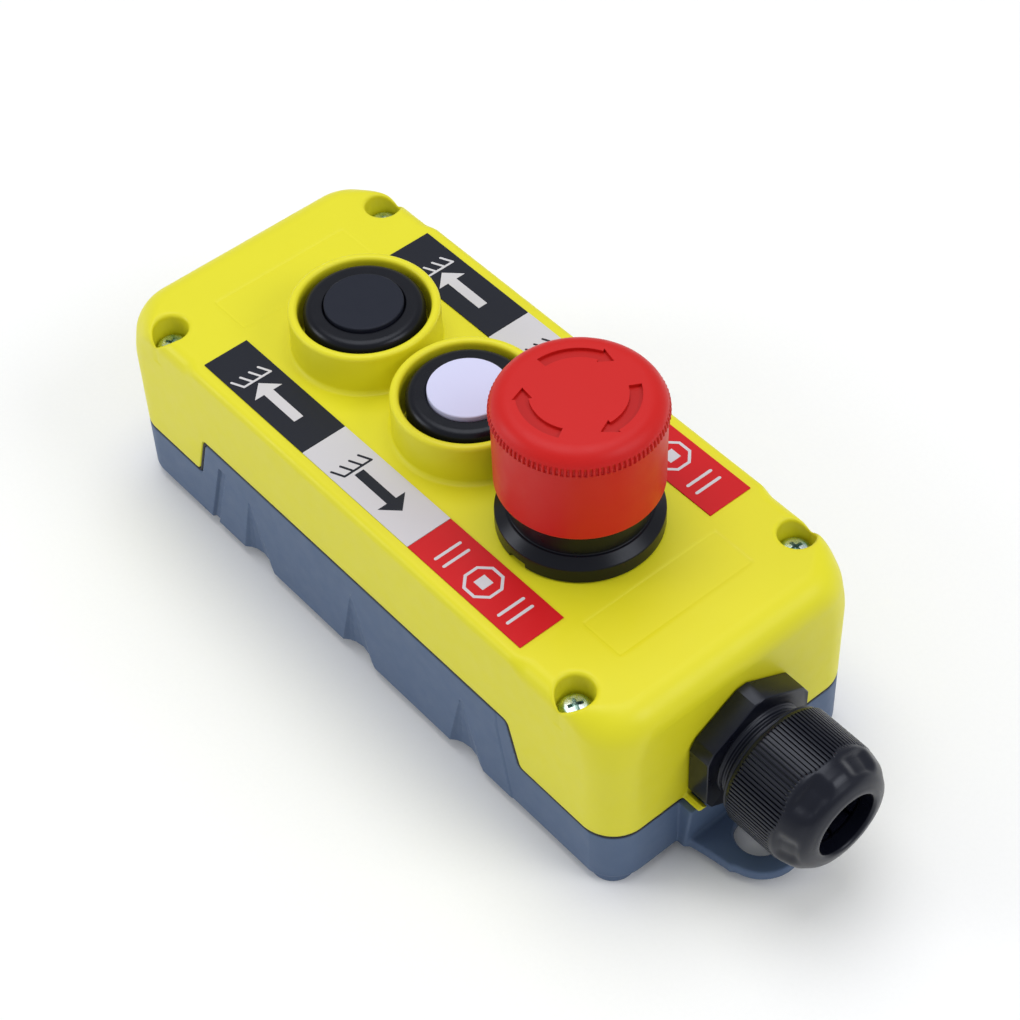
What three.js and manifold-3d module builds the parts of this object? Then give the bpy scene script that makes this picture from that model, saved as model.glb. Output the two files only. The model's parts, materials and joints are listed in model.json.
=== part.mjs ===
// Pendant control station: two hoist push buttons and a twist-release emergency stop in a
// hand-held plastic housing with a cable gland and a hanging lug.
//
// Millimetres. The station lies on the feet of its rear base. +X runs along the housing towards
// the cable gland, +Y across it, +Z up through the buttons. Heights in the button functions are
// measured from the top face of the front cover, along each button's own axis.

import * as THREE from 'three';
import { ConvexGeometry } from 'three/addons/geometries/ConvexGeometry.js';
import { mergeVertices } from 'three/addons/utils/BufferGeometryUtils.js';
import Module from 'manifold-3d';

const wasm = await Module();
wasm.setup();

// ---------------------------------------------------------------- driving dimensions

const GAP = 0.3; // clearance between pieces that rest on each other

const HOUSING_HALF_LENGTH = 92.3;
const HOUSING_HALF_WIDTH = 38.8;
const CORNER_RADIUS = 9.5; // vertical corners, in plan
const WALL = 2.6;
const FOOT_HEIGHT = 2.5;
const FOOT_RADIUS = 5.5;
const FOOT_X = 85.2;
const FOOT_Y = 31.6;
const BASE_FILLET = 1; // bottom edge of the rear base
const COVER_TOP = 57.5; // top face above the surface that the feet stand on
const COVER_PLATE = 3; // thickness of the cover's top
const COVER_FILLET = 5.5; // top edge at the ends
const CAVITY_CHAMFER = 3.5; // inner edge under the cover's top
const PAD_FILLET = 2.2; // top edge beside the legends
const PARTING_MIDDLE = 32.35; // height of the parting line along the sides
const PARTING_END = 18.8; // height of the parting line round both ends
const PARTING_STEP_TOP = 57; // |x| where the parting line starts to drop
const PARTING_STEP_BOTTOM = 61; // |x| where it has dropped
const PARTING_GAP = 0.4;

const BUTTON_PITCH = 39.2;
const PANEL_HOLE_RADIUS = 11.2; // 22 mm operators
const BARREL_RADIUS = 10.85;
const COLLAR_OUTER_RADIUS = 18.6;
const COLLAR_INNER_RADIUS = 16.3;
const COLLAR_HEIGHT = 11.8;
const BUTTON_TRAVEL = 4.3;

const LEGEND_INNER_EDGE = 22.3; // |y|
const LEGEND_OUTER_EDGE = 35.1;
const LEGEND_THICKNESS = 0.25;

const SCREW_X = 75.3;
const SCREW_Y = 33.6;
const SCREW_SEAT = 49.6; // height of the counterbore's floor
const SCREW_HEAD_HOLE = 4.5; // radii from here on
const SCREW_SHANK_HOLE = 2.3;
const SCREW_PILOT_HOLE = 2.2;
const COVER_BOSS = 6.4;
const BASE_BOSS = 5.8;

const RECESS_X = 68.75; // shallow marking recess beyond each end of the legends
const RECESS_HALF_LENGTH = 6.25;
const RECESS_HALF_WIDTH = 20.3;
const RECESS_DEPTH = 0.2;

const GLAND_HEIGHT = 29.5; // gland axis above the floor
const HEX_ACROSS_FLATS = 31.2;
const HEX_THICKNESS = 6.2;
const GLAND_HOLE_RADIUS = 9.9; // through the end wall
const SPIGOT_RADIUS = 12.5; // thread of the dome nut
const NUT_BACK = 103.2; // x of the dome nut's inner end
const NUT_LENGTH = 23.8;
const NUT_RADIUS = 15.9;

const LUG_THICKNESS = 3;
const LUG_END = 115.5;

const BRIDGE_THICKNESS = 0.8;
const CONTACT_TOP = -29.9; // upper face of the fixed contacts
const CONTACT_THICKNESS = 1;
const TERMINAL_Y = 11.5;

const HEAD_TOP = 41;
const HEAD_RADIUS = 20; // 40 mm mushroom
const HEAD_BOTTOM = 14.7;
const ARROW_DEPTH = 0.7;

const OVERLAP = 1; // how far cutting tools run past the face that they cut
const ROUND = 20; // sides of a large circle
const SMALL_ROUND = 12; // sides of a small one

// ---------------------------------------------------------------- colours

const YELLOW = { color: 0xe6e03a, roughness: 0.45, metalness: 0 };
const SLATE = { color: 0x5f7086, roughness: 0.55, metalness: 0 };
const RED = { color: 0xc8282a, roughness: 0.45, metalness: 0 };
const BLACK = { color: 0x1d1e24, roughness: 0.4, metalness: 0 };
const WHITE = { color: 0xdcdcf4, roughness: 0.4, metalness: 0 };
const LABEL_BLACK = { color: 0x22242c, roughness: 0.5, metalness: 0 };
const LABEL_WHITE = { color: 0xd8d4d0, roughness: 0.5, metalness: 0 };
const LABEL_RED = { color: 0xc92a30, roughness: 0.5, metalness: 0 };
const RUBBER = { color: 0x15161a, roughness: 0.8, metalness: 0 };
const STEEL = { color: 0xb8bcc0, roughness: 0.3, metalness: 1 };
const BRASS = { color: 0xc2a45a, roughness: 0.35, metalness: 1 };
const NYLON = { color: 0xe4e2d6, roughness: 0.5, metalness: 0 };
const BLOCK_GREY = { color: 0x3a3d44, roughness: 0.5, metalness: 0 };

// ---------------------------------------------------------------- solids

function signedVolume(geometry) {
  const position = geometry.getAttribute('position');
  const corners = [new THREE.Vector3(), new THREE.Vector3(), new THREE.Vector3()];
  let volume = 0;
  for (let i = 0; i < geometry.index.count; i += 3) {
    corners.forEach((corner, k) => {
      corner.fromBufferAttribute(position, geometry.index.getX(i + k));
    });
    volume += corners[0].dot(corners[1].clone().cross(corners[2])) / 6;
  }
  return volume;
}

function faceOutwards(geometry) {
  if (signedVolume(geometry) > 0) return;
  const index = geometry.index.array;
  for (let i = 0; i < index.length; i += 3) {
    [index[i], index[i + 1]] = [index[i + 1], index[i]];
  }
}

function solid(geometry) {
  const bare = geometry.clone();
  bare.deleteAttribute('normal');
  bare.deleteAttribute('uv');
  const merged = mergeVertices(bare, 1e-4);
  faceOutwards(merged);
  return new wasm.Manifold(new wasm.Mesh({
    numProp: 3,
    vertProperties: new Float32Array(merged.getAttribute('position').array),
    triVerts: new Uint32Array(merged.index.array),
  }));
}

function join(first, ...others) {
  return others.reduce((sum, other) => sum.add(other), first);
}

function cut(first, ...tools) {
  return tools.reduce((rest, tool) => rest.subtract(tool), first);
}

function geometryOf(manifold) {
  const mesh = manifold.getMesh();
  const geometry = new THREE.BufferGeometry();
  const vertices = new Float32Array(mesh.vertProperties);
  geometry.setAttribute('position', new THREE.BufferAttribute(vertices, 3));
  geometry.setIndex(new THREE.BufferAttribute(new Uint32Array(mesh.triVerts), 1));
  return geometry;
}

function moved(geometry, x, y, z) {
  return geometry.clone().translate(x, y, z);
}

// A box given by its lowest and highest corners.
function box(low, high) {
  const size = high.map((value, axis) => value - low[axis]);
  const middle = high.map((value, axis) => (value + low[axis]) / 2);
  return new THREE.BoxGeometry(...size).translate(...middle);
}

// A body of revolution about +Z. The profile is a list of [radius, height] that closes on itself.
function turned(profile, sides = ROUND) {
  const closed = [...profile, profile[0]];
  const points = closed.map(([radius, height]) => new THREE.Vector2(radius, height));
  return new THREE.LatheGeometry(points, sides).rotateX(Math.PI / 2);
}

function rod(radius, bottom, top, sides = ROUND) {
  return turned([[0, bottom], [radius, bottom], [radius, top], [0, top]], sides);
}

function ring(innerRadius, outerRadius, bottom, top, sides = ROUND) {
  return turned([
    [innerRadius, bottom], [outerRadius, bottom], [outerRadius, top], [innerRadius, top],
  ], sides);
}

// A flat outline pushed up from one height to another.
function prism(points, bottom, top) {
  const shape = new THREE.Shape(points.map(([x, y]) => new THREE.Vector2(x, y)));
  const options = { depth: top - bottom, bevelEnabled: false };
  return new THREE.ExtrudeGeometry(shape, options).translate(0, 0, bottom);
}

function hexagon(acrossFlats) {
  const radius = acrossFlats / Math.sqrt(3);
  return Array.from({ length: 6 }, (_, k) => {
    const angle = (k * Math.PI) / 3;
    return [radius * Math.cos(angle), radius * Math.sin(angle)];
  });
}

// A hexagon whose six corners are cut back a little, with a corner on the first axis.
function cutHexagon(acrossFlats, trim) {
  const corners = hexagon(acrossFlats);
  const towards = ([x, y], [otherX, otherY]) => {
    const side = Math.hypot(otherX - x, otherY - y);
    return [x + ((otherX - x) * trim) / side, y + ((otherY - y) * trim) / side];
  };
  return corners.flatMap((corner, k) => [
    towards(corner, corners[(k + 5) % 6]),
    towards(corner, corners[(k + 1) % 6]),
  ]);
}

// Turns a piece made along +Z so that it lies along +X, with its own +X pointing up.
function alongX(geometry) {
  return geometry.clone().rotateY(Math.PI / 2).rotateX(Math.PI);
}

function roundedRectangle(halfLength, halfWidth, radius, steps = 4) {
  const outline = [];
  const corners = [[1, 1], [-1, 1], [-1, -1], [1, -1]];
  corners.forEach(([signX, signY], quarter) => {
    for (let k = 0; k <= steps; k += 1) {
      const angle = (quarter + k / steps) * (Math.PI / 2);
      outline.push([
        signX * (halfLength - radius) + radius * Math.cos(angle),
        signY * (halfWidth - radius) + radius * Math.sin(angle),
      ]);
    }
  });
  return outline;
}

// A closed skin through outlines with equal numbers of points, each at its own height.
function loft(layers) {
  const count = layers[0].outline.length;
  const vertices = [];
  const index = [];
  layers.forEach(({ outline, height }) => outline.forEach(([x, y]) => vertices.push(x, y, height)));
  for (let layer = 0; layer + 1 < layers.length; layer += 1) {
    for (let k = 0; k < count; k += 1) {
      const a = layer * count + k;
      const b = layer * count + ((k + 1) % count);
      index.push(a, b, b + count, a, b + count, a + count);
    }
  }
  const last = (layers.length - 1) * count;
  const bottomMiddle = vertices.length / 3;
  vertices.push(0, 0, layers[0].height, 0, 0, layers[layers.length - 1].height);
  for (let k = 0; k < count; k += 1) {
    const next = (k + 1) % count;
    index.push(bottomMiddle, next, k, bottomMiddle + 1, last + k, last + next);
  }
  const geometry = new THREE.BufferGeometry();
  geometry.setAttribute('position', new THREE.Float32BufferAttribute(vertices, 3));
  geometry.setIndex(index);
  return geometry;
}

// A block with rounded vertical corners and a quarter-round edge at its bottom or its top.
function roundedBlock(options) {
  const { halfLength, halfWidth, corner, bottom, top, bottomFillet = 0, topFillet = 0 } = options;
  const layers = [];
  const steps = 3;
  const layer = (inset, height) => {
    const radius = Math.max(corner - inset, 0.4);
    return { outline: roundedRectangle(halfLength - inset, halfWidth - inset, radius), height };
  };
  if (bottomFillet === 0) layers.push(layer(0, bottom));
  for (let k = 0; bottomFillet > 0 && k <= steps; k += 1) {
    const angle = (k / steps) * (Math.PI / 2);
    const rise = bottomFillet * (1 - Math.cos(angle));
    layers.push(layer(bottomFillet * (1 - Math.sin(angle)), bottom + rise));
  }
  if (topFillet === 0) layers.push(layer(0, top));
  for (let k = 0; topFillet > 0 && k <= steps; k += 1) {
    const angle = (k / steps) * (Math.PI / 2);
    const fall = topFillet * (1 - Math.sin(angle));
    layers.push(layer(topFillet * (1 - Math.cos(angle)), top - fall));
  }
  return loft(layers);
}

// ---------------------------------------------------------------- housing

// The parting line's outline in the XZ plane, raised by an offset, and closed far below the floor.
function belowParting(offset) {
  const slope = Math.atan2(PARTING_MIDDLE - PARTING_END, PARTING_STEP_BOTTOM - PARTING_STEP_TOP);
  const widen = offset * Math.tan(slope / 2);
  const reach = 200;
  const outline = [
    [-reach, -reach], [reach, -reach], [reach, PARTING_END + offset],
    [PARTING_STEP_BOTTOM + widen, PARTING_END + offset],
    [PARTING_STEP_TOP + widen, PARTING_MIDDLE + offset],
    [-PARTING_STEP_TOP - widen, PARTING_MIDDLE + offset],
    [-PARTING_STEP_BOTTOM - widen, PARTING_END + offset],
    [-reach, PARTING_END + offset],
  ];
  return solid(prism(outline, -reach, reach).rotateX(Math.PI / 2));
}

function housingBlock(inset, bottom, top, options = {}) {
  return roundedBlock({
    halfLength: HOUSING_HALF_LENGTH - inset,
    halfWidth: HOUSING_HALF_WIDTH - inset,
    corner: CORNER_RADIUS - inset,
    bottom,
    top,
    ...options,
  });
}

const buttonPlaces = [-BUTTON_PITCH, 0, BUTTON_PITCH];
const quarters = [[1, -1], [-1, -1], [1, 1], [-1, 1]];

// The same upright rod in all four corners of the housing.
function cornerRods(x, y, radius, bottom, top, sides = SMALL_ROUND) {
  const upright = rod(radius, bottom, top, sides);
  return quarters.map(([signX, signY]) => solid(moved(upright, signX * x, signY * y, 0)));
}

// The socket in the base's gland block that stops the gland's hexagon from turning.
function hexPocket() {
  const depth = 20;
  const socket = prism(hexagon(HEX_ACROSS_FLATS + 2 * GAP), 0, depth);
  return solid(moved(alongX(socket), HOUSING_HALF_LENGTH, 0, GLAND_HEIGHT));
}

// The cover's tongue that closes the gland block from above, narrower at its crest.
function tongue() {
  const foot = 17.5;
  const crest = 14.5;
  const height = 2.2;
  const reach = 5.5;
  const outline = [
    [-OVERLAP, -foot], [0, -foot], [height, -crest], [height, crest], [0, foot], [-OVERLAP, foot],
  ];
  return solid(moved(alongX(prism(outline, -WALL, reach)), HOUSING_HALF_LENGTH, 0, PARTING_END));
}

function coverOutside() {
  const shell = solid(housingBlock(0, 0, COVER_TOP, { topFillet: COVER_FILLET }));
  const padSink = 0.15;
  const pad = solid(roundedBlock({
    halfLength: 1.5 * BUTTON_PITCH + 1.9,
    halfWidth: HOUSING_HALF_WIDTH - padSink,
    corner: 1.5,
    bottom: PARTING_MIDDLE,
    top: COVER_TOP,
    topFillet: PAD_FILLET,
  }));
  return join(shell, pad, cut(tongue(), hexPocket()));
}

// The hollow inside the cover, with a chamfered upper edge.
function coverCavity() {
  const ceiling = COVER_TOP - COVER_PLATE;
  const layer = (inset, height) => {
    const [halfLength, halfWidth] = [HOUSING_HALF_LENGTH - inset, HOUSING_HALF_WIDTH - inset];
    return { outline: roundedRectangle(halfLength, halfWidth, CORNER_RADIUS - inset), height };
  };
  return solid(loft([
    layer(WALL, -OVERLAP),
    layer(WALL, ceiling - CAVITY_CHAMFER),
    layer(WALL + CAVITY_CHAMFER, ceiling),
  ]));
}

// A guard ring round a push button, with a small fillet at its foot.
function collar(x) {
  const fillet = 0.8;
  return solid(moved(turned([
    [COLLAR_INNER_RADIUS, -OVERLAP],
    [COLLAR_OUTER_RADIUS + fillet, -OVERLAP],
    [COLLAR_OUTER_RADIUS + fillet, 0.1],
    [COLLAR_OUTER_RADIUS + 0.3, 0.4],
    [COLLAR_OUTER_RADIUS, 1.2],
    [COLLAR_OUTER_RADIUS, COLLAR_HEIGHT - 0.9],
    [COLLAR_OUTER_RADIUS - 0.6, COLLAR_HEIGHT],
    [COLLAR_INNER_RADIUS + 0.5, COLLAR_HEIGHT],
    [COLLAR_INNER_RADIUS, COLLAR_HEIGHT - 0.6],
  ]), x, 0, COVER_TOP));
}

function markingRecess(end) {
  return solid(box(
    [end * RECESS_X - RECESS_HALF_LENGTH, -RECESS_HALF_WIDTH, COVER_TOP - RECESS_DEPTH],
    [end * RECESS_X + RECESS_HALF_LENGTH, RECESS_HALF_WIDTH, COVER_TOP + OVERLAP],
  ));
}

function frontCover() {
  const bottom = -5;
  const above = COVER_TOP + 20;
  const bosses = cornerRods(SCREW_X, SCREW_Y, COVER_BOSS, bottom, COVER_TOP);
  const shell = cut(coverOutside(), cut(coverCavity(), ...bosses));
  const panelHole = rod(PANEL_HOLE_RADIUS, COVER_TOP - 2 * COVER_PLATE, above);
  const glandHole = alongX(rod(GLAND_HOLE_RADIUS, -20, 20));
  return cut(
    join(shell, collar(-BUTTON_PITCH), collar(0)),
    ...buttonPlaces.map((x) => solid(moved(panelHole, x, 0, 0))),
    ...cornerRods(SCREW_X, SCREW_Y, SCREW_HEAD_HOLE, SCREW_SEAT, above),
    ...cornerRods(SCREW_X, SCREW_Y, SCREW_SHANK_HOLE, bottom, above),
    solid(moved(glandHole, HOUSING_HALF_LENGTH, 0, GLAND_HEIGHT)),
    markingRecess(-1),
    markingRecess(1),
    belowParting(PARTING_GAP / 2),
  );
}

// The groove for the gasket, or the gasket itself, as a band that follows the parting line.
function partingBand(outerInset, innerInset, low, high) {
  const band = cut(
    solid(housingBlock(outerInset, 5, 50)),
    solid(housingBlock(innerInset, 4, 51)),
  );
  return cut(band, belowParting(low)).intersect(belowParting(high));
}

// One finger grip: a scoop that starts steeply, runs out gently and tapers to nothing upwards.
function gripScoop(start, side) {
  const section = [[0, 0], [1.8, 1.5], [5.6, 2.4], [9, 2], [11.8, 0.7], [13.8, 0]];
  const length = 13.8;
  const foot = 1;
  const apexAlong = 6.2;
  const apexHeight = 26;
  const outerFace = HOUSING_HALF_WIDTH + OVERLAP;
  const corners = [
    ...section.map(([along, depth]) => [start + along, HOUSING_HALF_WIDTH - depth, foot]),
    [start, outerFace, foot],
    [start + length, outerFace, foot],
    [start + apexAlong, HOUSING_HALF_WIDTH, apexHeight],
    [start + apexAlong, outerFace, apexHeight],
  ];
  return solid(new ConvexGeometry(corners.map(([x, y, z]) => new THREE.Vector3(x, side * y, z))));
}

function hangingLug() {
  const shape = new THREE.Shape();
  const rootX = HOUSING_HALF_LENGTH - 4;
  const shoulderX = 94;
  const halfWidth = 17.2;
  const cornerX = 105.5;
  const cornerY = 4;
  const cornerRadius = LUG_END - cornerX;
  shape.moveTo(rootX, -halfWidth);
  shape.lineTo(shoulderX, -halfWidth);
  shape.lineTo(cornerX, -cornerY - cornerRadius);
  shape.absarc(cornerX, -cornerY, cornerRadius, -Math.PI / 2, 0, false);
  shape.absarc(cornerX, cornerY, cornerRadius, 0, Math.PI / 2, false);
  shape.lineTo(shoulderX, halfWidth);
  shape.lineTo(rootX, halfWidth);
  const slot = new THREE.Path();
  const slotX = 104.6;
  const slotRadius = 6;
  const slotCentre = 3.5;
  slot.absarc(slotX, slotCentre, slotRadius, 0, Math.PI, false);
  slot.absarc(slotX, -slotCentre, slotRadius, Math.PI, 2 * Math.PI, false);
  shape.holes.push(slot);
  const options = { depth: LUG_THICKNESS, bevelEnabled: false, curveSegments: 8 };
  return solid(new THREE.ExtrudeGeometry(shape, options).translate(0, 0, FOOT_HEIGHT));
}

// The wedge on the end wall that carries the gland's hexagon and the lug's root.
function glandBlock() {
  const halfWidth = 17.9;
  const rootX = HOUSING_HALF_LENGTH - 1.5;
  const footX = 94.6;
  const topX = 97.1;
  const bottom = FOOT_HEIGHT + 0.5;
  const top = PARTING_END + 5;
  const profile = [[rootX, bottom], [footX, bottom], [topX, top], [rootX, top]];
  return solid(prism(profile, -halfWidth, halfWidth).rotateX(Math.PI / 2));
}

function rearBase() {
  const outside = solid(housingBlock(0, FOOT_HEIGHT, 50, { bottomFillet: BASE_FILLET }));
  const inside = solid(housingBlock(WALL, FOOT_HEIGHT + WALL, 60));
  const bosses = cornerRods(SCREW_X, SCREW_Y, BASE_BOSS, 0, 70);
  const feet = cornerRods(FOOT_X, FOOT_Y, FOOT_RADIUS, 0, FOOT_HEIGHT + OVERLAP, 24);
  const scoops = [1, -1].flatMap((side) => [-47.6, -6.9, 34.4].map((start) => gripScoop(start, side)));
  const groove = solid(box(
    [-58.2, -HOUSING_HALF_WIDTH - OVERLAP, -OVERLAP],
    [-54.8, -HOUSING_HALF_WIDTH + 0.8, 28.5],
  ));
  const shell = join(cut(outside, cut(inside, ...bosses)), ...feet, glandBlock(), hangingLug());
  const pilotHoles = cornerRods(SCREW_X, SCREW_Y, SCREW_PILOT_HOLE, 7, 60);
  const pierced = cut(shell, ...pilotHoles, ...scoops, groove, hexPocket());
  const gasketGroove = partingBand(0.7, 2.1, -1.6, 2);
  return cut(pierced.intersect(belowParting(-PARTING_GAP / 2)), gasketGroove);
}

function coverGasket() {
  return partingBand(0.95, 1.85, -1.3, -0.15);
}

function coverScrew() {
  const bottom = 9;
  const head = SCREW_SEAT + GAP;
  const shankRadius = 1.9;
  const headRadius = 3.9;
  const body = turned([
    [0, bottom], [shankRadius, bottom + 1.5], [shankRadius, head], [headRadius, head],
    [headRadius, head + 1.3], [headRadius - 1, head + 2.4], [0, head + 2.4],
  ], SMALL_ROUND);
  const arm = solid(box([-2.1, -0.5, head + 0.9], [2.1, 0.5, head + 4]));
  return cut(solid(body), join(arm, arm.rotate([0, 0, 90])));
}

// ---------------------------------------------------------------- push buttons

// Black bezel with the threaded barrel that passes through the cover.
function bezel() {
  return solid(turned([
    [4.8, -14], [BARREL_RADIUS, -14], [BARREL_RADIUS, 1.6], [14.9, 1.6], [14.9, 10.6], [13.6, 12],
    [10.6, 12], [10, 11.5], [10, 2.4], [7.6, 2.4], [7.6, -9], [4.8, -9],
  ]));
}

// Coloured cap moulded in one piece with its plunger.
function cap(top) {
  return solid(turned([
    [0, -16.8], [4.5, -16.8], [4.5, 6.9], [8.2, 6.9], [9.65, 6.9], [9.65, top - 0.8], [8.9, top], [0, top],
  ]));
}

function panelGasket(outerRadius) {
  return solid(ring(11.6, outerRadius, GAP, 1.3));
}

// Ring nut under the cover's top, with four notches for its spanner.
function lockNut() {
  const top = -COVER_PLATE - GAP;
  const thickness = 3.6;
  const outerRadius = 14.2;
  const notchFloor = 12.4;
  const body = solid(ring(PANEL_HOLE_RADIUS, outerRadius, top - thickness, top));
  const bar = solid(box([-20, -1.5, top - 6], [20, 1.5, top - 1.7]));
  const core = solid(rod(notchFloor, -20, 20));
  return cut(body, cut(join(bar, bar.rotate([0, 0, 90])), core));
}

// A coil spring with squared ends, wound about +Z.
function spring({ radius, wire, bottom, top, turns }) {
  const steps = Math.round(turns * 8);
  const low = bottom + wire;
  const high = top - wire;
  const points = Array.from({ length: steps + 1 }, (_, k) => {
    const angle = (k / steps) * turns * 2 * Math.PI;
    const height = low + ((high - low) * k) / steps;
    return new THREE.Vector3(radius * Math.cos(angle), radius * Math.sin(angle), height);
  });
  const sides = 4;
  const section = new THREE.Shape(Array.from({ length: sides }, (_, k) => {
    const angle = (k / sides) * 2 * Math.PI;
    return new THREE.Vector2(wire * Math.cos(angle), wire * Math.sin(angle));
  }));
  const path = new THREE.CatmullRomCurve3(points);
  return solid(new THREE.ExtrudeGeometry(section, { steps, extrudePath: path, bevelEnabled: false }));
}

// Snap-on contact housing below the barrel, open at the bottom for the wires.
function contactBlock() {
  const body = solid(box([-12.5, -15, -38], [12.5, 15, -7.6]));
  const barrelSeat = solid(rod(PANEL_HOLE_RADIUS, -14.3, 0));
  const chamber = solid(box([-5.5, -8.5, -40], [5.5, 8.5, -14]));
  const strips = solid(box([-2.9, -13, -31.1], [2.9, 13, -29.5]));
  const terminals = [-TERMINAL_Y, TERMINAL_Y].flatMap((y) => [
    solid(box([-2.5, y - 2, -40], [2.5, y + 2, -33.5])),
    solid(moved(rod(2.3, -33.6, -29, SMALL_ROUND), 0, y, 0)),
  ]);
  return cut(body, barrelSeat, chamber, strips, ...terminals);
}


// The moving carrier snaps on the plunger's end and holds the contact bridge.
function contactCarrier(bridgeHeight) {
  const bottom = bridgeHeight - 2.2;
  const head = solid(rod(5.1, -18.4, -17.1, SMALL_ROUND));
  const stem = solid(box([-3.6, -1.5, bottom], [3.6, 1.5, -18]));
  const window = solid(box(
    [-2.4, -3, bridgeHeight - GAP],
    [2.4, 3, bridgeHeight + BRIDGE_THICKNESS + GAP],
  ));
  return join(cut(stem, window), head);
}

function contactBridge(bridgeHeight) {
  return solid(box([-1.9, -7.6, bridgeHeight], [1.9, 7.6, bridgeHeight + BRIDGE_THICKNESS]));
}

// A short screw that clamps the wire against the end of its fixed contact.
function terminalScrew() {
  return solid(turned([
    [0, -36.5], [1.6, -36.5], [1.6, -33.2], [1.9, -33.2], [1.9, -31.5], [0, -31.5],
  ], SMALL_ROUND));
}

// A fixed contact runs from under the bridge to its terminal screw.
function fixedContact(side) {
  const ends = [side * 5.9, side * 12.6].sort((a, b) => a - b);
  return solid(box([-2.5, ends[0], CONTACT_TOP - CONTACT_THICKNESS], [2.5, ends[1], CONTACT_TOP]));
}

// ---------------------------------------------------------------- emergency stop

function stopFlange() {
  const body = solid(turned([
    [6.6, -14], [BARREL_RADIUS, -14], [BARREL_RADIUS, 1.6], [18, 1.6], [18, GAP],
    [19.7, GAP], [19.7, 4.4], [17.3, 6.4], [16.7, 6.4], [16.7, 17], [14.6, 17], [14.6, 4],
    [9.6, 4], [9.6, -9.4], [6.6, -9.4],
  ]));
  const notch = solid(box([-2.2, -20, 0], [2.2, -18.2, 1.3]));
  return cut(body, notch);
}

function stopHead() {
  const fillet = 4.6;
  const shoulder = Array.from({ length: 4 }, (_, k) => {
    const angle = (k / 3) * (Math.PI / 2);
    return [HEAD_RADIUS - fillet * (1 - Math.cos(angle)), HEAD_TOP - fillet * (1 - Math.sin(angle))];
  });
  const shell = solid(turned([
    [3.3, 20], [6.4, 20], [6.4, 37.5], [15, 37.5], [17.3, 35], [17.3, HEAD_BOTTOM],
    [19.6, HEAD_BOTTOM], [19.7, 35.4], [HEAD_RADIUS, 35.8], ...shoulder, [0, HEAD_TOP],
    [0, 36], [3.3, 36],
  ], 30));
  const arrows = [0, 1, 2].map((turn) => releaseArrow(turn));
  return cut(shell, ...arrows);
}

// One of the three recessed arrows that show the releasing turn, clockwise from above.
function releaseArrow(turn) {
  const inner = 11.3;
  const outer = 14.2;
  const middle = (inner + outer) / 2;
  const start = THREE.MathUtils.degToRad(180 - 120 * turn);
  const sweep = THREE.MathUtils.degToRad(64);
  const head = THREE.MathUtils.degToRad(16);
  const at = (radius, angle) => [radius * Math.cos(angle), radius * Math.sin(angle)];
  const steps = 6;
  const back = Array.from({ length: steps + 1 }, (_, k) => start - (sweep * k) / steps);
  const outline = [
    ...back.map((angle) => at(outer, angle)),
    at(outer + 1, start - sweep),
    at(middle, start - sweep - head),
    at(inner - 1, start - sweep),
    ...back.reverse().map((angle) => at(inner, angle)),
  ];
  return solid(prism(outline, HEAD_TOP - ARROW_DEPTH, HEAD_TOP + OVERLAP));
}

// The plunger slides in the flange's barrel, and the head turns on its upper spindle.
function stopPlunger() {
  return solid(turned([
    [0, -16.8], [4.5, -16.8], [4.5, -9.8], [6.2, -9.8], [6.2, 3], [8.6, 3], [8.6, 4.6],
    [5.4, 4.6], [5.4, 19.4], [3, 19.7], [3, 35.4], [0, 35.4],
  ]));
}

// ---------------------------------------------------------------- cable gland

// Distances in this section run outwards from the end wall, along the gland's axis.

// Hexagon and threaded spigot in one piece.
function glandBody() {
  const boreRadius = 8.2;
  const sleeveRadius = 9.6;
  const spigotEnd = 20;
  const hexEnd = GAP + HEX_THICKNESS;
  const revolved = solid(turned([
    [boreRadius, -14], [sleeveRadius, -14], [sleeveRadius, GAP], [SPIGOT_RADIUS + 0.3, GAP],
    [SPIGOT_RADIUS + 0.3, hexEnd - 1], [SPIGOT_RADIUS, hexEnd], [SPIGOT_RADIUS, spigotEnd],
    [9.9, spigotEnd], [9.9, 9.4], [boreRadius, 9.4],
  ]));
  const hex = cut(
    solid(prism(cutHexagon(HEX_ACROSS_FLATS, 1.9), GAP, hexEnd)),
    solid(rod(SPIGOT_RADIUS - 0.6, -OVERLAP, 30)),
  );
  const washerRecess = solid(ring(sleeveRadius, 11.4, -OVERLAP, 1.7));
  return cut(join(revolved, hex), washerRecess);
}

function glandWasher() {
  return solid(ring(10, 11.1, GAP, 1.4));
}

function glandLockNut() {
  const thickness = 5;
  const near = -WALL - GAP - thickness;
  return cut(
    solid(prism(cutHexagon(26, 1.2), near, near + thickness)),
    solid(rod(GLAND_HOLE_RADIUS, -30, 30)),
  );
}

function sealInsert() {
  return solid(ring(6.4, 9.5, 12.4, 20.6));
}

// Ring of clamping fingers that the dome nut closes on the cable.
function clampRing() {
  const base = solid(turned([[7, 20.9], [9.5, 20.9], [9.5, 25], [9, 30], [7.6, 30]]));
  const slot = solid(box([-15, -0.5, 23.4], [15, 0.5, 40]));
  return cut(base, ...[0, 45, 90, 135].map((turn) => slot.rotate([0, 0, turn])));
}

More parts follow.
